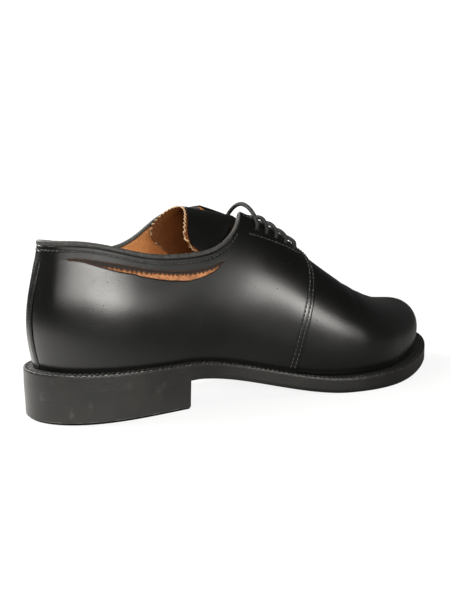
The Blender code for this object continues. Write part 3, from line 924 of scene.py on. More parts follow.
def slash_open(along):
    """How far the slash stands open: 1 along it and 0 past its two ends."""
    return ease(along, SLASH_BACK - 1, SLASH_BACK + 5) * (1 - ease(along, SLASH_FRONT - 6, SLASH_FRONT))


def slash_lips(last, angle):
    """Depth of the upper and the lower lip, with the lower one cut unevenly."""
    along = along_at(angle)
    middle, gape = slash_mid(last, along), slash_open(along)
    uneven = 0.28 * wander(along, 23, 5 + last.side) + 0.1 * wander(along, 4, 15)
    uneven = uneven * ease(along, 22, 40)
    upper = middle - gape * (middle - SLASH_UPPER(along))
    lower = middle + gape * (SLASH_LOWER(along) - middle + uneven)
    return upper, lower


def eyelets(last):
    """Middle of each eyelet on the last."""
    angle = turn(EYELET_FIRST + EYELET_PITCH * np.arange(EYELET_ROWS))
    return last.at(angle, last.share_at(angle, EYELET_SETBACK))


def quarter_fields(last, angle, share, lip, gape, front):
    """Lift of the quarter's leather, and where its colour is painted near black as shade: 1 in the
    eyelets' holes and in the groove under the binding's edge.

    The leather dips in grooves under the binding and along the stitch rows, rolls off at its cut
    edges, is punched at the eyelets and swells and sinks a little over its whole face.
    """
    along = along_at(angle)
    depth = (1 - share) * last.length_at(angle)
    points = last.at(angle, share)
    collar = 1 - ease(along, last.corner - 3, last.corner - 0.5)
    facing = ease(along, last.corner - 1, last.corner + 1)
    lift = -(0.12 + 0.23 * ease(along, 6, 20)) * collar * hump(depth - BINDING, 0.22)
    lift -= 0.16 * (1 - ease(along, last.corner - 8, last.corner - 4)) * hump(depth - BAND_ROW, 0.5)
    lift -= 0.2 * np.exp(-lip / 0.25) * ease(gape, 0.0, 0.8)
    lift -= 0.4 * facing * np.exp(-depth / 0.4)
    lift -= 0.16 * facing * hump(depth - EDGE_ROW, 0.5)
    lift -= 0.22 * ease(along, last.corner, last.corner + 3) * hump(depth - FACING_ROW, 0.7)
    lift -= 0.35 * np.exp(-front / 0.4)
    lift -= 0.16 * (hump(front - EDGE_ROW, 0.5) + hump(front - EDGE_ROW - EDGE_ROW_GAP, 0.5))
    away = np.linalg.norm(points[..., None, :] - eyelets(last), axis=-1).min(-1)
    hole_shade = 1 - ease(away, EYELET_RADIUS - 0.5, EYELET_RADIUS)
    lift -= 1.0 * hole_shade + 0.15 * hump(away - EYELET_RADIUS, 0.9)
    # painted shade: the groove under the binding's edge joins the holes, to be coloured near black
    hole_shade = np.maximum(hole_shade, 0.95 * collar * hump(depth - BINDING - 0.05, 0.19))
    height = points[..., 2]
    lift += 0.035 * np.sin(along / 7.3 + height / 11) + 0.03 * np.sin(along / 13 - height / 6.1 + 1)
    lift += 0.05 * np.sin(along / 21 - height / 17 + 2)
    return lift, hole_shade


def scuff_field(points, spots):
    """Sum of soft round spots: bell curves of the distance from each spot's middle."""
    spots = np.array(spots, float)
    middle, radius, strength = spots[:, :3], spots[:, 3], spots[:, 4]
    away = np.linalg.norm(points[..., None, :] - middle, axis=-1)
    return np.clip((strength * hump(away, radius)).sum(-1), 0, 1)


def build_quarter(side, name):
    """Quarter and collar band as one leather, parted by the slash.

    Below the slash a grid runs from the heel seam to the front edge and from the foot to the lower
    lip. Above it a second grid runs from the upper lip to the topline on the same columns, so that
    the two weld where the slash is closed.
    """
    last = LASTS[side]
    rows = np.concatenate([np.linspace(0, 0.78, 52)[:-1], np.linspace(0.78, 1, 72)])
    end = turn(FRONT_EDGE(rows))[:, None]
    split = turn(last.corner) / end[-1, 0]
    band_columns = np.linspace(0, split, 170)
    columns = np.concatenate([band_columns[:-1], np.linspace(split, 1, 100)])
    angle = end * columns
    upper, lower = slash_lips(last, angle)
    share = rows[:, None] * last.share_at(angle, lower)
    lip = (1 - share) * last.length_at(angle) - lower
    front = along_at(end) - along_at(angle)

    fine = [np.linspace(0, 0.64, 20)[:-1], np.linspace(0.64, 0.81, 18)[:-1], np.linspace(0.81, 1, 9)]
    band_rows = np.concatenate(fine)[:, None]
    band_angle = end[-1, 0] * band_columns[None] + 0 * band_rows
    band_upper, band_lower = slash_lips(last, band_angle)
    band_depth = (1 - band_rows) * band_upper
    band_share = last.share_at(band_angle, band_depth)

    angles = np.concatenate([angle.ravel(), band_angle.ravel()])
    shares = np.concatenate([share.ravel(), band_share.ravel()])
    lips = np.concatenate([lip.ravel(), (band_upper - band_depth).ravel()])
    gape = np.concatenate([(lower - upper).ravel(), (band_lower - band_upper).ravel()])
    fronts = np.concatenate([front.ravel(), np.full(band_angle.size, SOLE_LENGTH)])
    lift, hole_shade = quarter_fields(last, angles, shares, lips, gape, fronts)
    points = last.at(angles, shares, lift)
    raw = (1 - ease(lips, 0.0, 0.35)) * ease(gape, 0.05, 0.5)
    places = along_at(angles)
    fade_in = ease(places, SLASH_BACK - 9, SLASH_BACK + 14)
    fade_out = 1 - ease(places, SLASH_FRONT - 34, SLASH_FRONT - 4)
    on_band = np.arange(angles.size) >= angle.size
    dull = fade_in * fade_out * on_band
    flip = side == INNER
    lower_faces = grid_faces(len(rows), len(columns), flip=flip)
    band_faces = grid_faces(len(band_rows), len(band_columns), flip=flip) + angle.size
    scuff = scuff_field(points, QUARTER_SCUFFS)
    fields = {"raw": raw, "hole_shade": hole_shade, "scuff": scuff, "dull": dull}
    faces = np.concatenate([lower_faces, band_faces])
    return make_piece(name, points, faces, CALF, fields, thickness=QUARTER_THICK)


def flex_creases(bent, across):
    """Lift of the soft creases: bell-shaped dips about wavy lines, each with a swell beside it."""
    lift = 0 * bent
    for along, depth, width, start, end in CREASES:
        line = bent - along + 2.2 * np.sin(2.3 * across + along)
        reach = ease(across, start, start + 0.3) * (1 - ease(across, end - 0.3, end))
        swell = 0.4 * hump(line - 1.7 * width, 1.3 * width)
        lift = lift - depth * reach * (hump(line, width) - swell)
    return lift


# Where round_toe() reads and changes the vamp's heights
TOE_SCALE, TOE_DEPTH = 10, 14
TOE_RING, TOE_BLEND = (4, 11), (3, 9)


def round_toe(points):
    """Heights around the ridge's end, moved onto a cubic in x and y fitted to the ring about it.

    The sections of the toe fan out from that end and would leave a mark there.
    """
    pole = LASTS[OUTER].points[-1, -1]
    x = (points[..., 0] - pole[0]) / TOE_SCALE
    y = (points[..., 1] - pole[1]) / TOE_SCALE
    reach = TOE_SCALE * np.hypot(x, y)
    above = points[..., 2] > pole[2] - TOE_DEPTH
    ring = (reach > TOE_RING[0]) & (reach < TOE_RING[1]) & above
    terms = np.stack([x**m * y**n for m in range(4) for n in range(4 - m)], axis=-1)
    fit = np.linalg.lstsq(terms[ring], points[ring][:, 2], rcond=None)[0]
    near = (1 - ease(reach, *TOE_BLEND)) * above
    points[..., 2] += near * (terms @ fit - points[..., 2])
    return points


def build_vamp():
    """Vamp under the quarters and over the toe, as a loop from the outer to the inner side.

    Soft flex creases run across it behind the toe, each a bell-shaped dip about a bent line.
    """
    rows = np.linspace(0, 1, 90)
    back = turn(FRONT_EDGE(rows) - 8)[:, None]
    columns = np.linspace(0, 1, 190) ** 1.5
    angle = back + (np.pi - back) * columns
    share = rows[:, None] + 0 * angle
    along = along_at(angle)
    bent = along + 9 * (1 - share) ** 2
    lift = -VAMP_SINK + 0.03 * np.sin(along / 9 + 7 * share)
    outer = LASTS[OUTER].at(angle, share, lift + flex_creases(bent, share))
    inner = LASTS[INNER].at(angle, share, lift + flex_creases(bent, 2 - share))[:, -2::-1]
    points = round_toe(np.concatenate([outer, inner], axis=1))
    faces = grid_faces(len(rows), points.shape[1])
    fields = {"scuff": scuff_field(points, VAMP_SCUFFS)}
    make_piece("vamp", points, faces, VAMP_CALF, fields, thickness=VAMP_THICK)


def build_lining():
    """Inner face of the upper all round, from the sock to the edge of the opening.

    It is puckered a little under the binding, and set back and sunk at the throat.
    """
    rows = np.linspace(0, 1, 70)[:, None]
    angle = np.linspace(0, np.pi, 260)[None] + 0 * rows
    along = along_at(angle)
    share = rows + 0 * angle
    height = share * LASTS[OUTER].length_at(angle)
    lift = 0.12 * wander(along + 0.6 * height, 31, 3) * ease(share, 0, 0.1) * (1 - ease(share, 0.9, 1))
    sides = []
    for last in LASTS.values():
        length = last.length_at(angle)
        depth = (1 - share) * length
        puckers = 0.12 * hump(depth - 6, 3) * np.sin(along / 1.4) * (along < last.corner)
        throat = ease(along, last.corner - 1, last.corner + 3) * ease(half_gap(along), 0.0, 2.0)
        near = share * (1 - 1.3 * throat / length)
        sink = LINING_SINK - 0.38 + 0.5 * ease(along, last.corner, last.corner + 6)
        sides.append(last.at(angle, near, np.minimum(lift + puckers, 0.2) - sink))
    points = np.concatenate([sides[0], sides[1][:, -2:0:-1]], axis=1)
    faces = grid_faces(len(rows), points.shape[1], closed=True)
    make_piece("lining", points, faces, LINING, thickness=0.4)


def build_binding():
    """Rolled binding over the topline, from one facing corner round the heel to the other.

    Its profile is a superellipse, 2.8 mm deep and 3.2 mm through, that wraps the outer leather and
    the lining. It is carried along the edge of the opening and tapers off at both corners.
    """
    around = np.linspace(0, 2 * np.pi, 21)[:-1]
    wide = np.sign(np.cos(around)) * np.abs(np.cos(around)) ** 0.75
    tall = np.sign(np.sin(around)) * np.abs(np.sin(around)) ** 0.75
    sides = []
    for side in (INNER, OUTER):
        last = LASTS[side]
        angle = np.linspace(turn(last.corner + 0.2), 0, 330)[:, None]
        along = along_at(angle)
        taper = ease(last.corner + 1.5 - along, 0, 4)
        ripple = 0.05 * wander(along, 6, 11) + 0.03 * wander(along, 2.3, 12)
        depth = 0.95 + (1.4 * taper + ripple) * wide
        lift = -QUARTER_THICK / 2 - 0.3 + (1.6 + ripple) * tall
        sides.append(last.at(angle, last.share_at(angle, depth), lift))
    points = np.concatenate([sides[0], sides[1][-2::-1]])
    faces = tube_faces(len(points), len(around))
    run = run_along(points[:, 0])[:, None]
    uv = np.stack([run + 0 * around, 8 * np.sin(around) + 0 * run], -1)
    fields = {"scuff": np.maximum(scuff_field(points, BINDING_SCUFFS), 0.15)}
    make_piece("binding", points, faces, BINDING_CALF, fields, uv=uv)


def build_slash_layers(side, name):
    """Pinked tape that hangs behind the band in the slash, and the raw leather behind that."""
    last = LASTS[side]
    angle = np.linspace(turn(SLASH_BACK), turn(SLASH_FRONT), 420)
    along = along_at(angle)
    upper, lower = slash_lips(last, angle)
    run = run_along(last.at(angle, 0.9))
    table = np.array(TAPE)
    valley, tooth = columns_at(along, table[:, 0], table[:, 1:]).T
    valley = valley + 0.25 * wander(along, 14, 9)
    tooth = tooth + 0.3 * wander(along, 5, 14)
    point = upper + valley + tooth * saw(run + 0.7 * wander(along, 11, 8), TAPE_PITCH)
    point = np.minimum(point, lower + 0.6)
    rows = np.linspace(0, 1, 9)[:, None]
    depth = (upper - 0.6) * (1 - rows) + point * rows
    lift = -0.95 + 0.4 * rows * ease(along, 30, 60) + 0.08 * wander(along, 9, 4)
    points = last.at(angle + 0 * rows, last.share_at(angle, depth), lift)
    faces = grid_faces(len(rows), len(angle), flip=side == OUTER)
    fields = {"tip": ease(rows + 0 * angle, 0.7, 1.0)}
    make_piece(f"pinked_tape_{name}", points, faces, PINKED, fields, thickness=0.45)
    deep = (upper - 1.2) * (1 - rows) + (lower + 2.0) * rows
    raised = 0.75 * ease(deep - lower, -0.7, 0.0) * ease(lower - point, 0.1, 0.9)
    rough = -1.3 + raised + 0.1 * wander(along + 3 * rows, 4, 6)
    points = last.at(angle + 0 * rows, last.share_at(angle, deep), rough)
    make_piece(f"raw_lip_{name}", points, faces, SUEDE, thickness=0.4)


# Share of the section at the strip's foot, and share of its half width at its two stitch rows
STRIP_FOOT, STRIP_ROW = 0.004, 0.74


def build_back_strip():
    """Strip over the back seam: flat across with turned-down edges, wider at its foot and top.

    Gives the lines of its two stitch rows and the outward directions along them.
    """
    rows = np.linspace(0, 1, 120)[:, None]
    across = np.linspace(-1, 1, 31)[None]
    last = LASTS[OUTER]
    share = STRIP_FOOT + (1 - STRIP_TOP / last.length[0] - STRIP_FOOT) * rows
    wide = 3.3 + 1.1 * (1 - rows) ** 3 + 0.7 * rows**4 + 0.12 * np.sin(9 * rows)
    near = last.angle[12]
    spread = last.at(np.full_like(share, near), share)[..., 0] / near
    angle = np.abs(across) * wide / spread
    lift = 0.95 - 0.75 * np.abs(across) ** 10 - 0.2 * hump(np.abs(across) - STRIP_ROW, 0.1)
    lift = lift - 0.1 * ease(rows, 0.5, 1.0)
    share = share + 0 * across
    outer, inner = [LASTS[side].at(angle, share, lift) for side in SIDES]
    points = np.where((across >= 0)[..., None], outer, inner)
    faces = grid_faces(len(rows), across.size)
    fields = {"scuff": scuff_field(points, STRIP_SCUFFS)}
    strip = make_piece("back_strip_leather", points, faces, STRIP_CALF, fields, thickness=0.9)
    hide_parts("back_strip")
    row_angle, row_share = (STRIP_ROW * wide / spread)[:, 0], share[:, 0]
    kept = rows[:, 0] < 0.98
    rails = []
    for side in (INNER, OUTER):
        line = LASTS[side].at(row_angle, row_share, 0.66)
        rails.append((line[kept], LASTS[side].normal(row_angle, row_share)[kept]))
    return rails


# Stitches


def stitch_shape():
    """Short thread arched over the leather: rings of six points, sunk at both ends."""
    t = np.array([-1, -0.82, -0.3, 0.3, 0.82, 1])[:, None]
    around = np.linspace(0, -2 * np.pi, 7)[None, :-1]
    thick = np.array([0.35, 0.8, 1, 1, 0.8, 0.35])[:, None]
    arch = 0.9 - 1.3 * t**4
    shape = np.stack([t + 0 * around, thick * np.cos(around), arch + thick * np.sin(around)], -1)
    return shape.reshape(-1, 3), tube_faces(len(t), around.size)


def stitch_row(line, normal, stitch, slant=0.0):
    """Stitches set along a line at their pitch, turned out of it by the slant.

    Gives their points, the faces of one stitch, how many there are and the points of each.
    """
    run = run_along(line)
    spots = np.arange(stitch.pitch / 2, run[-1], stitch.pitch)
    centre = columns_at(spots, run, line)
    up = unit(columns_at(spots, run, normal))
    way = unit(columns_at(spots, run, np.gradient(line, axis=0)))
    way = unit(way - up * (way * up).sum(-1, keepdims=True))
    cross = np.cross(up, way)
    ahead = way * np.cos(slant) + cross * np.sin(slant)
    beside = np.cross(up, ahead)
    shape, faces = stitch_shape()
    shape = shape * [stitch.length / 2, stitch.thick / 2, stitch.thick / 2]
    points = (
        centre[:, None]
        + shape[:, 0:1] * ahead[:, None]
        + shape[:, 1:2] * beside[:, None]
        + shape[:, 2:3] * up[:, None]
    )
    return points.reshape(-1, 3), faces, len(spots), len(shape)


def build_stitches(name, rows, finish):
    """All stitches of a group as one piece."""
    points, faces, start = [], [], 0
    for row_points, row_faces, count, size in rows:
        points.append(row_points)
        offsets = start + size * np.arange(count)
        for offset in offsets.tolist():
            faces += [[corner + offset for corner in face] for face in row_faces]
        start += count * size
    make_piece(name, np.concatenate(points), faces, finish, sharp=60)


def row_on_last(last, angle, depth, lift):
    """Line at this depth below the edge of the opening, and the outward directions along it."""
    share = last.share_at(angle, depth)
    return last.at(angle, share, lift), last.normal(angle, share)


def upper_stitch_rows(side):
    """Rows under the binding, along the facing, beside the eyelets and along the front edge."""
    last = LASTS[side]
    back = np.linspace(0, turn(last.corner - 6), 500)
    front = np.linspace(turn(last.corner + 1), turn(FACING_FOOT + 1), 200)
    stay = np.linspace(turn(last.corner + 2), turn(FACING_FOOT + 4), 240)
    rows = [
        stitch_row(*row_on_last(last, back, BAND_ROW, -0.12), UPPER_STITCH, slant=0.16 * side),
        stitch_row(*row_on_last(last, front, EDGE_ROW, -0.12), UPPER_STITCH),
        stitch_row(*row_on_last(last, stay, FACING_ROW, -0.16), UPPER_STITCH),
    ]
    share = np.linspace(0.02, 0.985, 300)
    edge = turn(FRONT_EDGE(share))
    for setback in (EDGE_ROW, EDGE_ROW + EDGE_ROW_GAP):
        angle = edge - setback / (SOLE_LENGTH / 2 * np.sin(edge))
        line = last.at(angle, share, -0.12)
        rows.append(stitch_row(line, last.normal(angle, share), UPPER_STITCH))
    return rows


def lining_stitch_row(side):
    """Row of the binding's stitches as it comes through on the lining."""
    last = LASTS[side]
    angle = np.linspace(0, turn(last.corner - 3), 400)
    line, normal = row_on_last(last, angle, BAND_ROW - 1.2, -LINING_SINK - 0.02)
    return stitch_row(line, -normal, LINING_STITCH)


# Sole


def across_sole(places, inset, height, shares):
    """Grid of points from the outer edge, at share 0, straight across to the inner edge, at share 1."""
    outer, inner = [inset_point(side, places, inset, height) for side in SIDES]
    shares = shares[:, None, None]
    return outer * (1 - shares) + inner * shares


def build_slab(name, levels, places, finish, fields_of, closed=True):
    """Solid with a wall of outline loops and a flat grid across its foot and top.

    Each level gives the inset and the height of a loop at those places. An open slab, as in the
    heel, has a straight front face between its two ends.
    """
    shares = np.linspace(0, 1, 9)
    grids = [across_sole(places, inset, height, shares) for inset, height in levels]
    loops = []
    for grid in grids:
        front = [] if closed else [grid[1:, -1]]
        loops.append(np.concatenate([grid[0], *front, grid[-1, -2:0:-1]]))
    wall = np.array(loops)
    points, faces = [wall.reshape(-1, 3)], [grid_faces(*wall.shape[:2], closed=True)]
    start = wall.size // 3
    for grid, flip in ((grids[0], True), (grids[-1], False)):
        points.append(grid.reshape(-1, 3))
        faces.append(grid_faces(*grid.shape[:2], flip=flip) + start)
        start += grid.size // 3
    points = np.concatenate(points)
    faces = np.concatenate(faces)
    return make_piece(name, points, faces, finish, fields_of(points), sharp=32)


def edge_wear(points):
    """Rubbed places of the sole's edge: round the foot of the heel block and in a few spots."""
    low = hump(points[:, 2] - HEEL_CHAMFER - 0.2, 0.16) * (0.25 + 0.6 * wander(points[:, 1], 17, 21))
    low = low * (points[:, 1] < HEEL_BREAST + 1)
    return {"worn": np.clip(low + 0.42 * scuff_field(points, EDGE_SCUFFS), 0, 1)}


def shade_black(points):
    """Values of a piece painted matt black all over, as shade."""
    return {"deep": np.ones(len(points))}


def build_heel():
    """Heel block, and under it the top piece, set back and bevelled towards the floor and painted black
    as the shade under the heel.
    """
    places = stations(150, end=HEEL_BREAST)
    seat = tread(places)
    profile = [
        (HEEL_UNDERCUT + 0.3, HEEL_CHAMFER),
        (HEEL_UNDERCUT + 0.06, HEEL_CHAMFER + 0.15),
        (HEEL_UNDERCUT, HEEL_CHAMFER + 0.4),
        (HEEL_UNDERCUT * 0.98, HEEL_CHAMFER + 0.7),
        (HEEL_UNDERCUT * 0.9, HEEL_SHOULDER),
    ]
    levels = [(inset, height + 0 * seat) for inset, height in profile]
    for t in (0.25, 0.5, 0.75, 1.0):
        levels.append((HEEL_UNDERCUT * (1 - t), HEEL_SHOULDER + (seat - HEEL_SHOULDER) * t))
    heel = build_slab("heel_block", levels, places, DRESSING, edge_wear, closed=False)
    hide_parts("heel")
    profile = [(2.2, 0.0), (1.3, 0.6), (0.6, HEEL_CHAMFER)]
    levels = [(HEEL_UNDERCUT + inset, height + 0 * seat) for inset, height in profile]
    build_slab("heel_top_piece", levels, places, SHADE_TOP_PIECE, shade_black, closed=False)


def build_outsole():
    """Outsole with a bevelled lower edge in front of the heel."""
    places = np.unique(np.concatenate([stations(220), [HEEL_BREAST, TREAD_START, TREAD_END]]))
    bevel = ease(places, HEEL_BREAST, HEEL_BREAST + 8)
    profile = [(1.0, 0.0), (0.3, 0.3), (0.0, 1.0), (0.0, 2.5), (0.0, 4.5), (0.0, OUTSOLE + GAP)]
    levels = [(inset * bevel, tread(places) + lift) for inset, lift in profile]
    sole = build_slab("sole_leather", levels, places, DRESSING, edge_wear)
    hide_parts("outsole")


def build_welt():
    """Welt and its row of stitches.

    Its profile, as insets and lifts, is carried round the sole. Its rim has a wheeled notch for each
    stitch, the cosine of the distance walked, and between the notches it is painted pale, partly as
    rubbed wear and partly as highlights on the raised rim.
    """
    places = stations(1100)
    tuck = LAST_AT["inset"](places) + LAST_AT["tuck"](places)
    edge = [(0, 0.0), (0, 1.4), (0, 2.5), (0.03, 2.8), (0.12, 3.0), (0.32, 3.14), (0.7, 3.2)]
    profile = np.array(edge + [(1.2, 3.22), (1.75, 3.16), (2.2, 2.88), (2.65, 3.16)])
    under_upper = (tuck + 2.0)[:, None]
    sides, worn, deep = [], [], []
    for side in SIDES:
        run = run_along(inset_point(side, places, 0, 0 * places))
        notch = np.cos(2 * np.pi * run / WELT_STITCH.pitch)[:, None]
        rough = wander(run, 5, 31 + side)[:, None]
        inset = np.concatenate([profile[None, :, 0] + 0 * notch, under_upper, under_upper], 1)
        lift = np.concatenate([profile[None, :, 1] + 0 * notch, WELT + 0 * notch, 0 * notch], 1)
        rim = hump(inset - 0.2, 0.6) * (lift > 2.5)
        line = hump(inset - 0.1, 0.13) * (lift > 2.7)
        lift = lift + rim * (0.13 * notch - 0.1 + 0.12 * rough)
        inset = inset + rim * (0.1 * rough + 0.06)
        height = welt_foot(places)[:, None] + lift
        sides.append(inset_point(side, places[:, None] + 0 * inset, inset, height))
        # partly painted highlight: pale rim dashes, strongest on the outer side by the heel
        walked = 0.12 + 0.8 * ease(places, 9, 15) * (1 - 0.75 * ease(places, 54, 66)) * (side == OUTER)
        dash = ease(notch + 0.9 * rough, -0.55, -0.15)
        worn.append(line * dash * walked[:, None])
        # painted shade: the welt's top under the upper is coloured near black and matt
        deep.append(ease(inset, 0.25, 0.7) * (lift > 2.3))
    points = np.concatenate([sides[0], sides[1][-2:0:-1]])
    ring = np.concatenate([points, points[:1]])
    faces = grid_faces(len(ring), points.shape[1], closed=True, flip=True)
    fields = {
        "worn": np.concatenate([worn[0], worn[1][-2::-1]]),
        "deep": np.concatenate([deep[0], deep[1][-2::-1]]),
    }
    welt = make_piece("welt_strip", ring, faces, DRESSING, fields, sharp=50)
    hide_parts("welt")
    places = stations(900)
    height = welt_foot(places) + WELT - 0.2
    outer, inner = [inset_point(side, places, WELT_ROW, height) for side in SIDES]
    line = np.concatenate([outer, inner[-2::-1]])
    up = np.zeros_like(line)
    up[:, 2] = 1
    row = stitch_row(line, up, WELT_STITCH, slant=0.08)
    build_stitches("welt_stitches", [row], WELT_THREAD)


def build_sock():
    """Sock on the insole: a little hollow across, turned up where it meets the lining."""
    places = stations(120, 0.5, SOLE_LENGTH - 0.5)
    inset = LAST_AT["inset"](places) + LAST_AT["tuck"](places) + WALL + 0.15
    shares = np.linspace(0, 1, 41)
    points = across_sole(places, inset, welt_foot(places) + WELT + INSOLE_RISE, shares)
    off = 2 * shares[:, None] - 1
    points[..., 2] += 0.9 * np.abs(off) ** 6 - 0.5 * (1 - off**2) * ease(places, 5, 60)
    faces = grid_faces(*points.shape[:2])
    sock = make_piece("sock", points, faces, SOCK, thickness=1.6)
    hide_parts("insole")


# Tongue and lace


def dome_height(along, across):
    """Height of the last's dome over a place given along the shoe and across from its middle."""
    row = last_rows(along)
    power = row["roundness"]
    sides = []
    for side in SIDES:
        _, _, out_x, _, reach = frame_of(side, along)
        k = np.clip(np.abs(across) / ((reach - row["inset"]) * np.abs(out_x)), 0, 1)
        sides.append(row["foot"] + row["bulge"] + row["rise"] * (1 - k**power) ** (1 / power))
    return np.where(across >= 0, sides[0], sides[1])


def under_facing(along, across):
    """Height of the tongue where it follows the inside of the last, sunk below the open throat."""
    step = 0.5
    slope_x = dome_height(along, across + step) - dome_height(along, across - step)
    slope_y = dome_height(along + step, across) - dome_height(along - step, across)
    wall = WALL * np.sqrt(1 + slope_x**2 + slope_y**2)
    sink = TONGUE_SINK * np.clip((THROAT_END - along) / (THROAT_END - TONGUE_BEND), 0, 1)
    return dome_height(along, across) - wall - TONGUE_CLEAR - sink


def tongue_points(row, share):
    """Outer face of the tongue: under the facings it follows the last, behind them it arches up.

    The arch is part of an ellipse that leans to the outer side. Its corners are swept back and its
    sides hang down.
    """
    free = np.clip((TONGUE_BEND - row) / (TONGUE_BEND - TONGUE_TOP), 0, 1)
    turned = np.sin(share * TONGUE_ARC) / np.sin(TONGUE_ARC)
    along = row - TONGUE_BACK * free**2 * turned**2
    across = turned * TONGUE_HALF(along)
    skew = TONGUE_SKEW * free * (1 - turned**2)
    arch = TONGUE_HEIGHT - TONGUE_DROP * (1 - np.cos(share * TONGUE_ARC))
    hang = 4 * TONGUE_HANG * free * (1 - free) * turned**2
    height = (1 - free) * under_facing(np.maximum(row, TONGUE_BEND), across) + free * arch - hang
    return np.stack([SOLE_CENTRE(turn(along)) + across + skew, along, height], -1)


def sunk(points, depth):
    """Grid of points moved along the surface's downward direction."""
    down = unit(np.cross(np.gradient(points, axis=0), np.gradient(points, axis=1)))
    return points + np.asarray(depth)[..., None] * down


def build_tongue():
    """Black outside of the tongue, and its lining, painted dark brown as shade, with a pinked edge that
    stands past it.

    Both are grids from the free end to the foot and from side to side. Triangle waves cut the
    lining's teeth. At the free end the lining rises to the level of the leather.
    """
    rows, across = np.linspace(0, 1, 190)[:, None], np.linspace(-1, 1, 90)[None]
    rounded = 2.6 * np.abs(across) ** 9 * (1 - rows) ** 8
    row = TONGUE_TOP + TONGUE_EDGE + (TONGUE_FOOT - TONGUE_TOP - TONGUE_EDGE) * rows + rounded
    points = tongue_points(row, 0.93 * across + 0 * rows)
    faces = grid_faces(rows.size, across.size, flip=True)
    fields = {"scuff": 0 * row}
    black = make_piece("tongue_leather", points, faces, VAMP_CALF, fields, thickness=0.9)
    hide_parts("tongue")
    half_run = 31.0
    teeth_side = 1.2 * saw(rows * (TONGUE_FOOT - TONGUE_TOP), TOOTH) / half_run
    teeth_top = 1.2 * saw(across * half_run, TOOTH) * (1 - rows) ** 20
    run = (TONGUE_FOOT - TONGUE_TOP) * rows + 0 * across
    row = TONGUE_TOP + run + teeth_top + rounded
    share = across * (1 - teeth_side)
    inside = np.minimum(run, (1 - np.abs(across)) * half_run)
    rise = (1 - ease(run, 0, TONGUE_EDGE)) * (1 - ease(np.abs(across), 0.8, 0.95))
    points = sunk(tongue_points(row, share), 1.0 - rise + 0.35 * ease(run, 2.6, 3.6))
    fields = {"cut": (1 - ease(inside, 0.0, 0.5)) * (1 - ease(run, 2, 9))}
    make_piece("tongue_lining", points, faces, SHADED_TONGUE_LINING, fields, thickness=0.7)


def lace_route(along, crown, points=36):
    """Line of a bar of lace: out of one eyelet, over the gap with its crown, and into the other."""
    lift = LACE / 2 + 1.5 * GAP
    depths = np.array([9.3, 8.7, 7.7, 6.1, 4.2, 0.5])
    lifts = np.array([-2.0, -0.8, 0.55, lift - 0.25, lift, lift])
    halves = []
    angle = np.full_like(depths, turn(along))
    for last in LASTS.values():
        halves.append(last.at(angle, last.share_at(angle, depths), lifts))
    middle = (halves[0][-1:] + halves[1][-1:]) / 2 + [0, 0, crown]
    route = np.concatenate([halves[0], middle, halves[1][::-1]])
    run = run_along(route)
    return curve_at(np.linspace(0, run[-1], points), run, route)


def build_lace(name, node, along, crown):
    """Braided tube round the route: a circle whose radius swells where the strands cross."""
    route = lace_route(along, crown)
    knots = np.arange(len(route))
    path = curve_at(np.linspace(0, knots[-1], 150), knots, route)
    way = unit(np.gradient(path, axis=0))
    across = unit(np.cross(way, [0, 1, 0.3]))
    upward = np.cross(across, way)
    around = np.linspace(0, 2 * np.pi, 25)[None, :-1]
    run = run_along(path)[:, None]
    turned = BRAID_STRANDS * around
    braid = np.sin(turned + run * BRAID_TURN) * np.sin(turned - run * BRAID_TURN)
    radius = LACE / 2 * (0.97 + 0.05 * braid)
    profile = np.stack([radius * np.cos(around), radius * np.sin(around)], -1)
    points = sweep(path, across, upward, profile)
    uv = np.stack([around / (2 * np.pi) * BRAID_STRANDS + 0 * run, run / LACE + 0 * around], -1)
    faces = tube_faces(len(path), around.size)
    lace = make_piece(name, points, faces, LACE_CORD, uv=uv, sharp=70)
    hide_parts(node)
    return lace, to_world(route)


def build_laces():
    """Loose top crossing, which is a cord, and the straight bars below it."""
    loop, route = build_lace("lace_arch", "lace_loop", EYELET_FIRST, LOOP_CROWN)
    tuple(route[0])
    [tuple(p) for p in route]
    for row in range(1, EYELET_ROWS):
        along = EYELET_FIRST + row * EYELET_PITCH
        build_lace(f"lace_straight_{row}", f"lace_bar_{row}", along, LACE_CROWN)


# Stage


def build_floor():
    """White paper floor: a wide disc whose rim curves up far from the shoe on all sides."""
    reach = np.concatenate([np.linspace(0.05, 2.0, 40), np.linspace(2.1, 4.0, 30)])[:, None]
    rise = 0.5 * np.clip(reach - 2.0, 0, None) ** 2
    around = np.linspace(0, 2 * np.pi, 97)[None, :-1]
    ring = np.stack([reach * np.cos(around), reach * np.sin(around), rise + 0 * around], -1)
    points = np.concatenate([ring.reshape(-1, 3), [[0, 0, 0]]])
    hub = np.full(around.size, len(points) - 1)
    first = np.arange(around.size)
    middle = np.stack([hub, first, np.roll(first, -1)], -1).tolist()
    faces = grid_faces(len(reach), around.size, closed=True, flip=True).tolist() + middle
    mesh = bpy.data.meshes.new("floor")
    mesh.from_pydata(points.tolist(), [], faces)
    mesh.materials.append(floor_finish("glowing_white_paper"))
    mesh.shade_smooth()
    floor = bpy.data.objects.new("floor", mesh)
    bpy.context.scene.collection.objects.link(floor)


CAMERA_PLACE = (0.40579, -0.29548, 0.12525)
CAMERA_YAW, CAMERA_PITCH = 0.983, -0.14037
CAMERA_LENS, CAMERA_SENSOR = 48.0, 36.0


def build_camera():
    """Camera where the photo's stands, in metres, turned so that the whole shoe is in the frame."""
    camera = bpy.data.objects.new("camera", bpy.data.cameras.new("camera"))
    camera.location = CAMERA_PLACE
    camera.rotation_euler = (np.pi / 2 + CAMERA_PITCH, 0, CAMERA_YAW)
    camera.data.lens = CAMERA_LENS
    camera.data.sensor_width = CAMERA_SENSOR
    camera.data.clip_start = 0.01
    bpy.context.scene.collection.objects.link(camera)
    bpy.context.scene.camera = camera


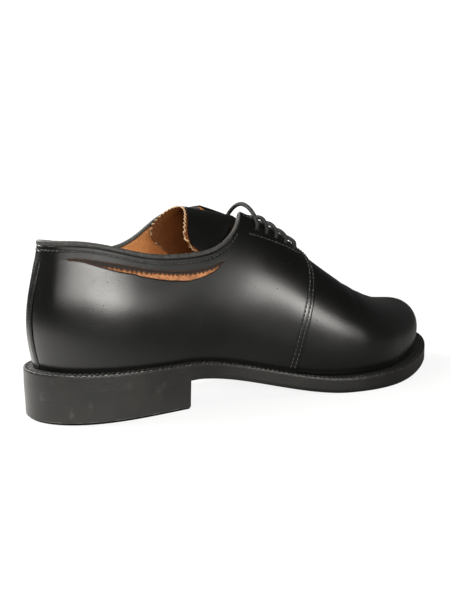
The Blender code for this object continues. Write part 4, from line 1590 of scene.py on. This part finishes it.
QUARTER_MIDDLE = np.array([0.025, -0.11, 0.065])
WARM_WHITE = (1.0, 0.985, 0.94)

# Curved soft screen, as strips next to each other
SCREEN_DISTANCE, SCREEN_SIZE = 0.9, (0.16, 0.17)
ScreenStrip = namedtuple("ScreenStrip", "azimuth elevation glow")
SCREEN = [
    ScreenStrip(52, 2.0, 2.0),
    ScreenStrip(62, 3.5, 3.4),
    ScreenStrip(72, 7.0, 12.0),
    ScreenStrip(82, 9.5, 19.5),
    ScreenStrip(92, 12.5, 19.5),
    ScreenStrip(102, 15.0, 18.0),
    ScreenStrip(112, 16.5, 15.5),
    ScreenStrip(122, 16.5, 13.0),
    ScreenStrip(132, 16.5, 10.5),
    ScreenStrip(142, 16.0, 7.5),
    ScreenStrip(152, 15.0, 4.2),
    ScreenStrip(162, 15.0, 2.6),
]


def add_light(name, azimuth, elevation, distance, size, power):
    """Soft box aimed at the quarter from an azimuth, clockwise from the toe, and an elevation."""
    a, e = np.radians(azimuth), np.radians(elevation)
    way = np.array([np.sin(a) * np.cos(e), np.cos(a) * np.cos(e), np.sin(e)])
    data = bpy.data.lights.new(name, "AREA")
    data.shape = "RECTANGLE"
    data.size, data.size_y = size
    data.energy = power
    data.color = WARM_WHITE
    light = bpy.data.objects.new(name, data)
    light.location = QUARTER_MIDDLE + distance * way
    light.rotation_euler = (np.pi / 2 - e, 0, np.pi - a)
    bpy.context.scene.collection.objects.link(light)


def build_lights():
    """Dim white surroundings, the soft screen beside the shoe and three soft boxes."""
    world = bpy.data.worlds.new("studio")
    world.use_nodes = True
    world.node_tree.nodes["Background"].inputs["Color"].default_value = (1, 1, 1, 1)
    world.node_tree.nodes["Background"].inputs["Strength"].default_value = 0.04
    bpy.context.scene.world = world
    for azimuth, elevation, glow in SCREEN:
        power = glow * np.pi * SCREEN_SIZE[0] * SCREEN_SIZE[1]
        add_light(f"screen_{azimuth}", azimuth, elevation, SCREEN_DISTANCE, SCREEN_SIZE, power)
    add_light("inner_box", -95, 16, 0.9, (0.7, 0.22), 4.5)
    add_light("back_light", -140, 50, 1.2, (0.6, 0.6), 18)
    add_light("top_light", 30, 85, 1.2, (0.9, 0.9), 4)
    bpy.context.scene.view_settings.view_transform = "Standard"


def build_shoe():
    """All pieces of the shoe."""
    build_laces()
    build_heel()
    build_outsole()
    build_welt()
    build_sock()
    outer = build_quarter(OUTER, "quarter_outer")
    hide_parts("upper")
    build_quarter(INNER, "quarter_inner")
    build_vamp()
    build_lining()
    build_binding()
    build_slash_layers(OUTER, "outer")
    build_slash_layers(INNER, "inner")
    rails = build_back_strip()
    strip_rows = [stitch_row(line, normal, STRIP_STITCH) for line, normal in rails]
    rows = upper_stitch_rows(OUTER) + upper_stitch_rows(INNER) + strip_rows
    build_stitches("upper_stitches", rows, THREAD)
    rows = [lining_stitch_row(side) for side in SIDES]
    build_stitches("lining_stitches", rows, LINING_THREAD)
    build_tongue()


build_camera()
build_shoe()
build_floor()
build_lights()
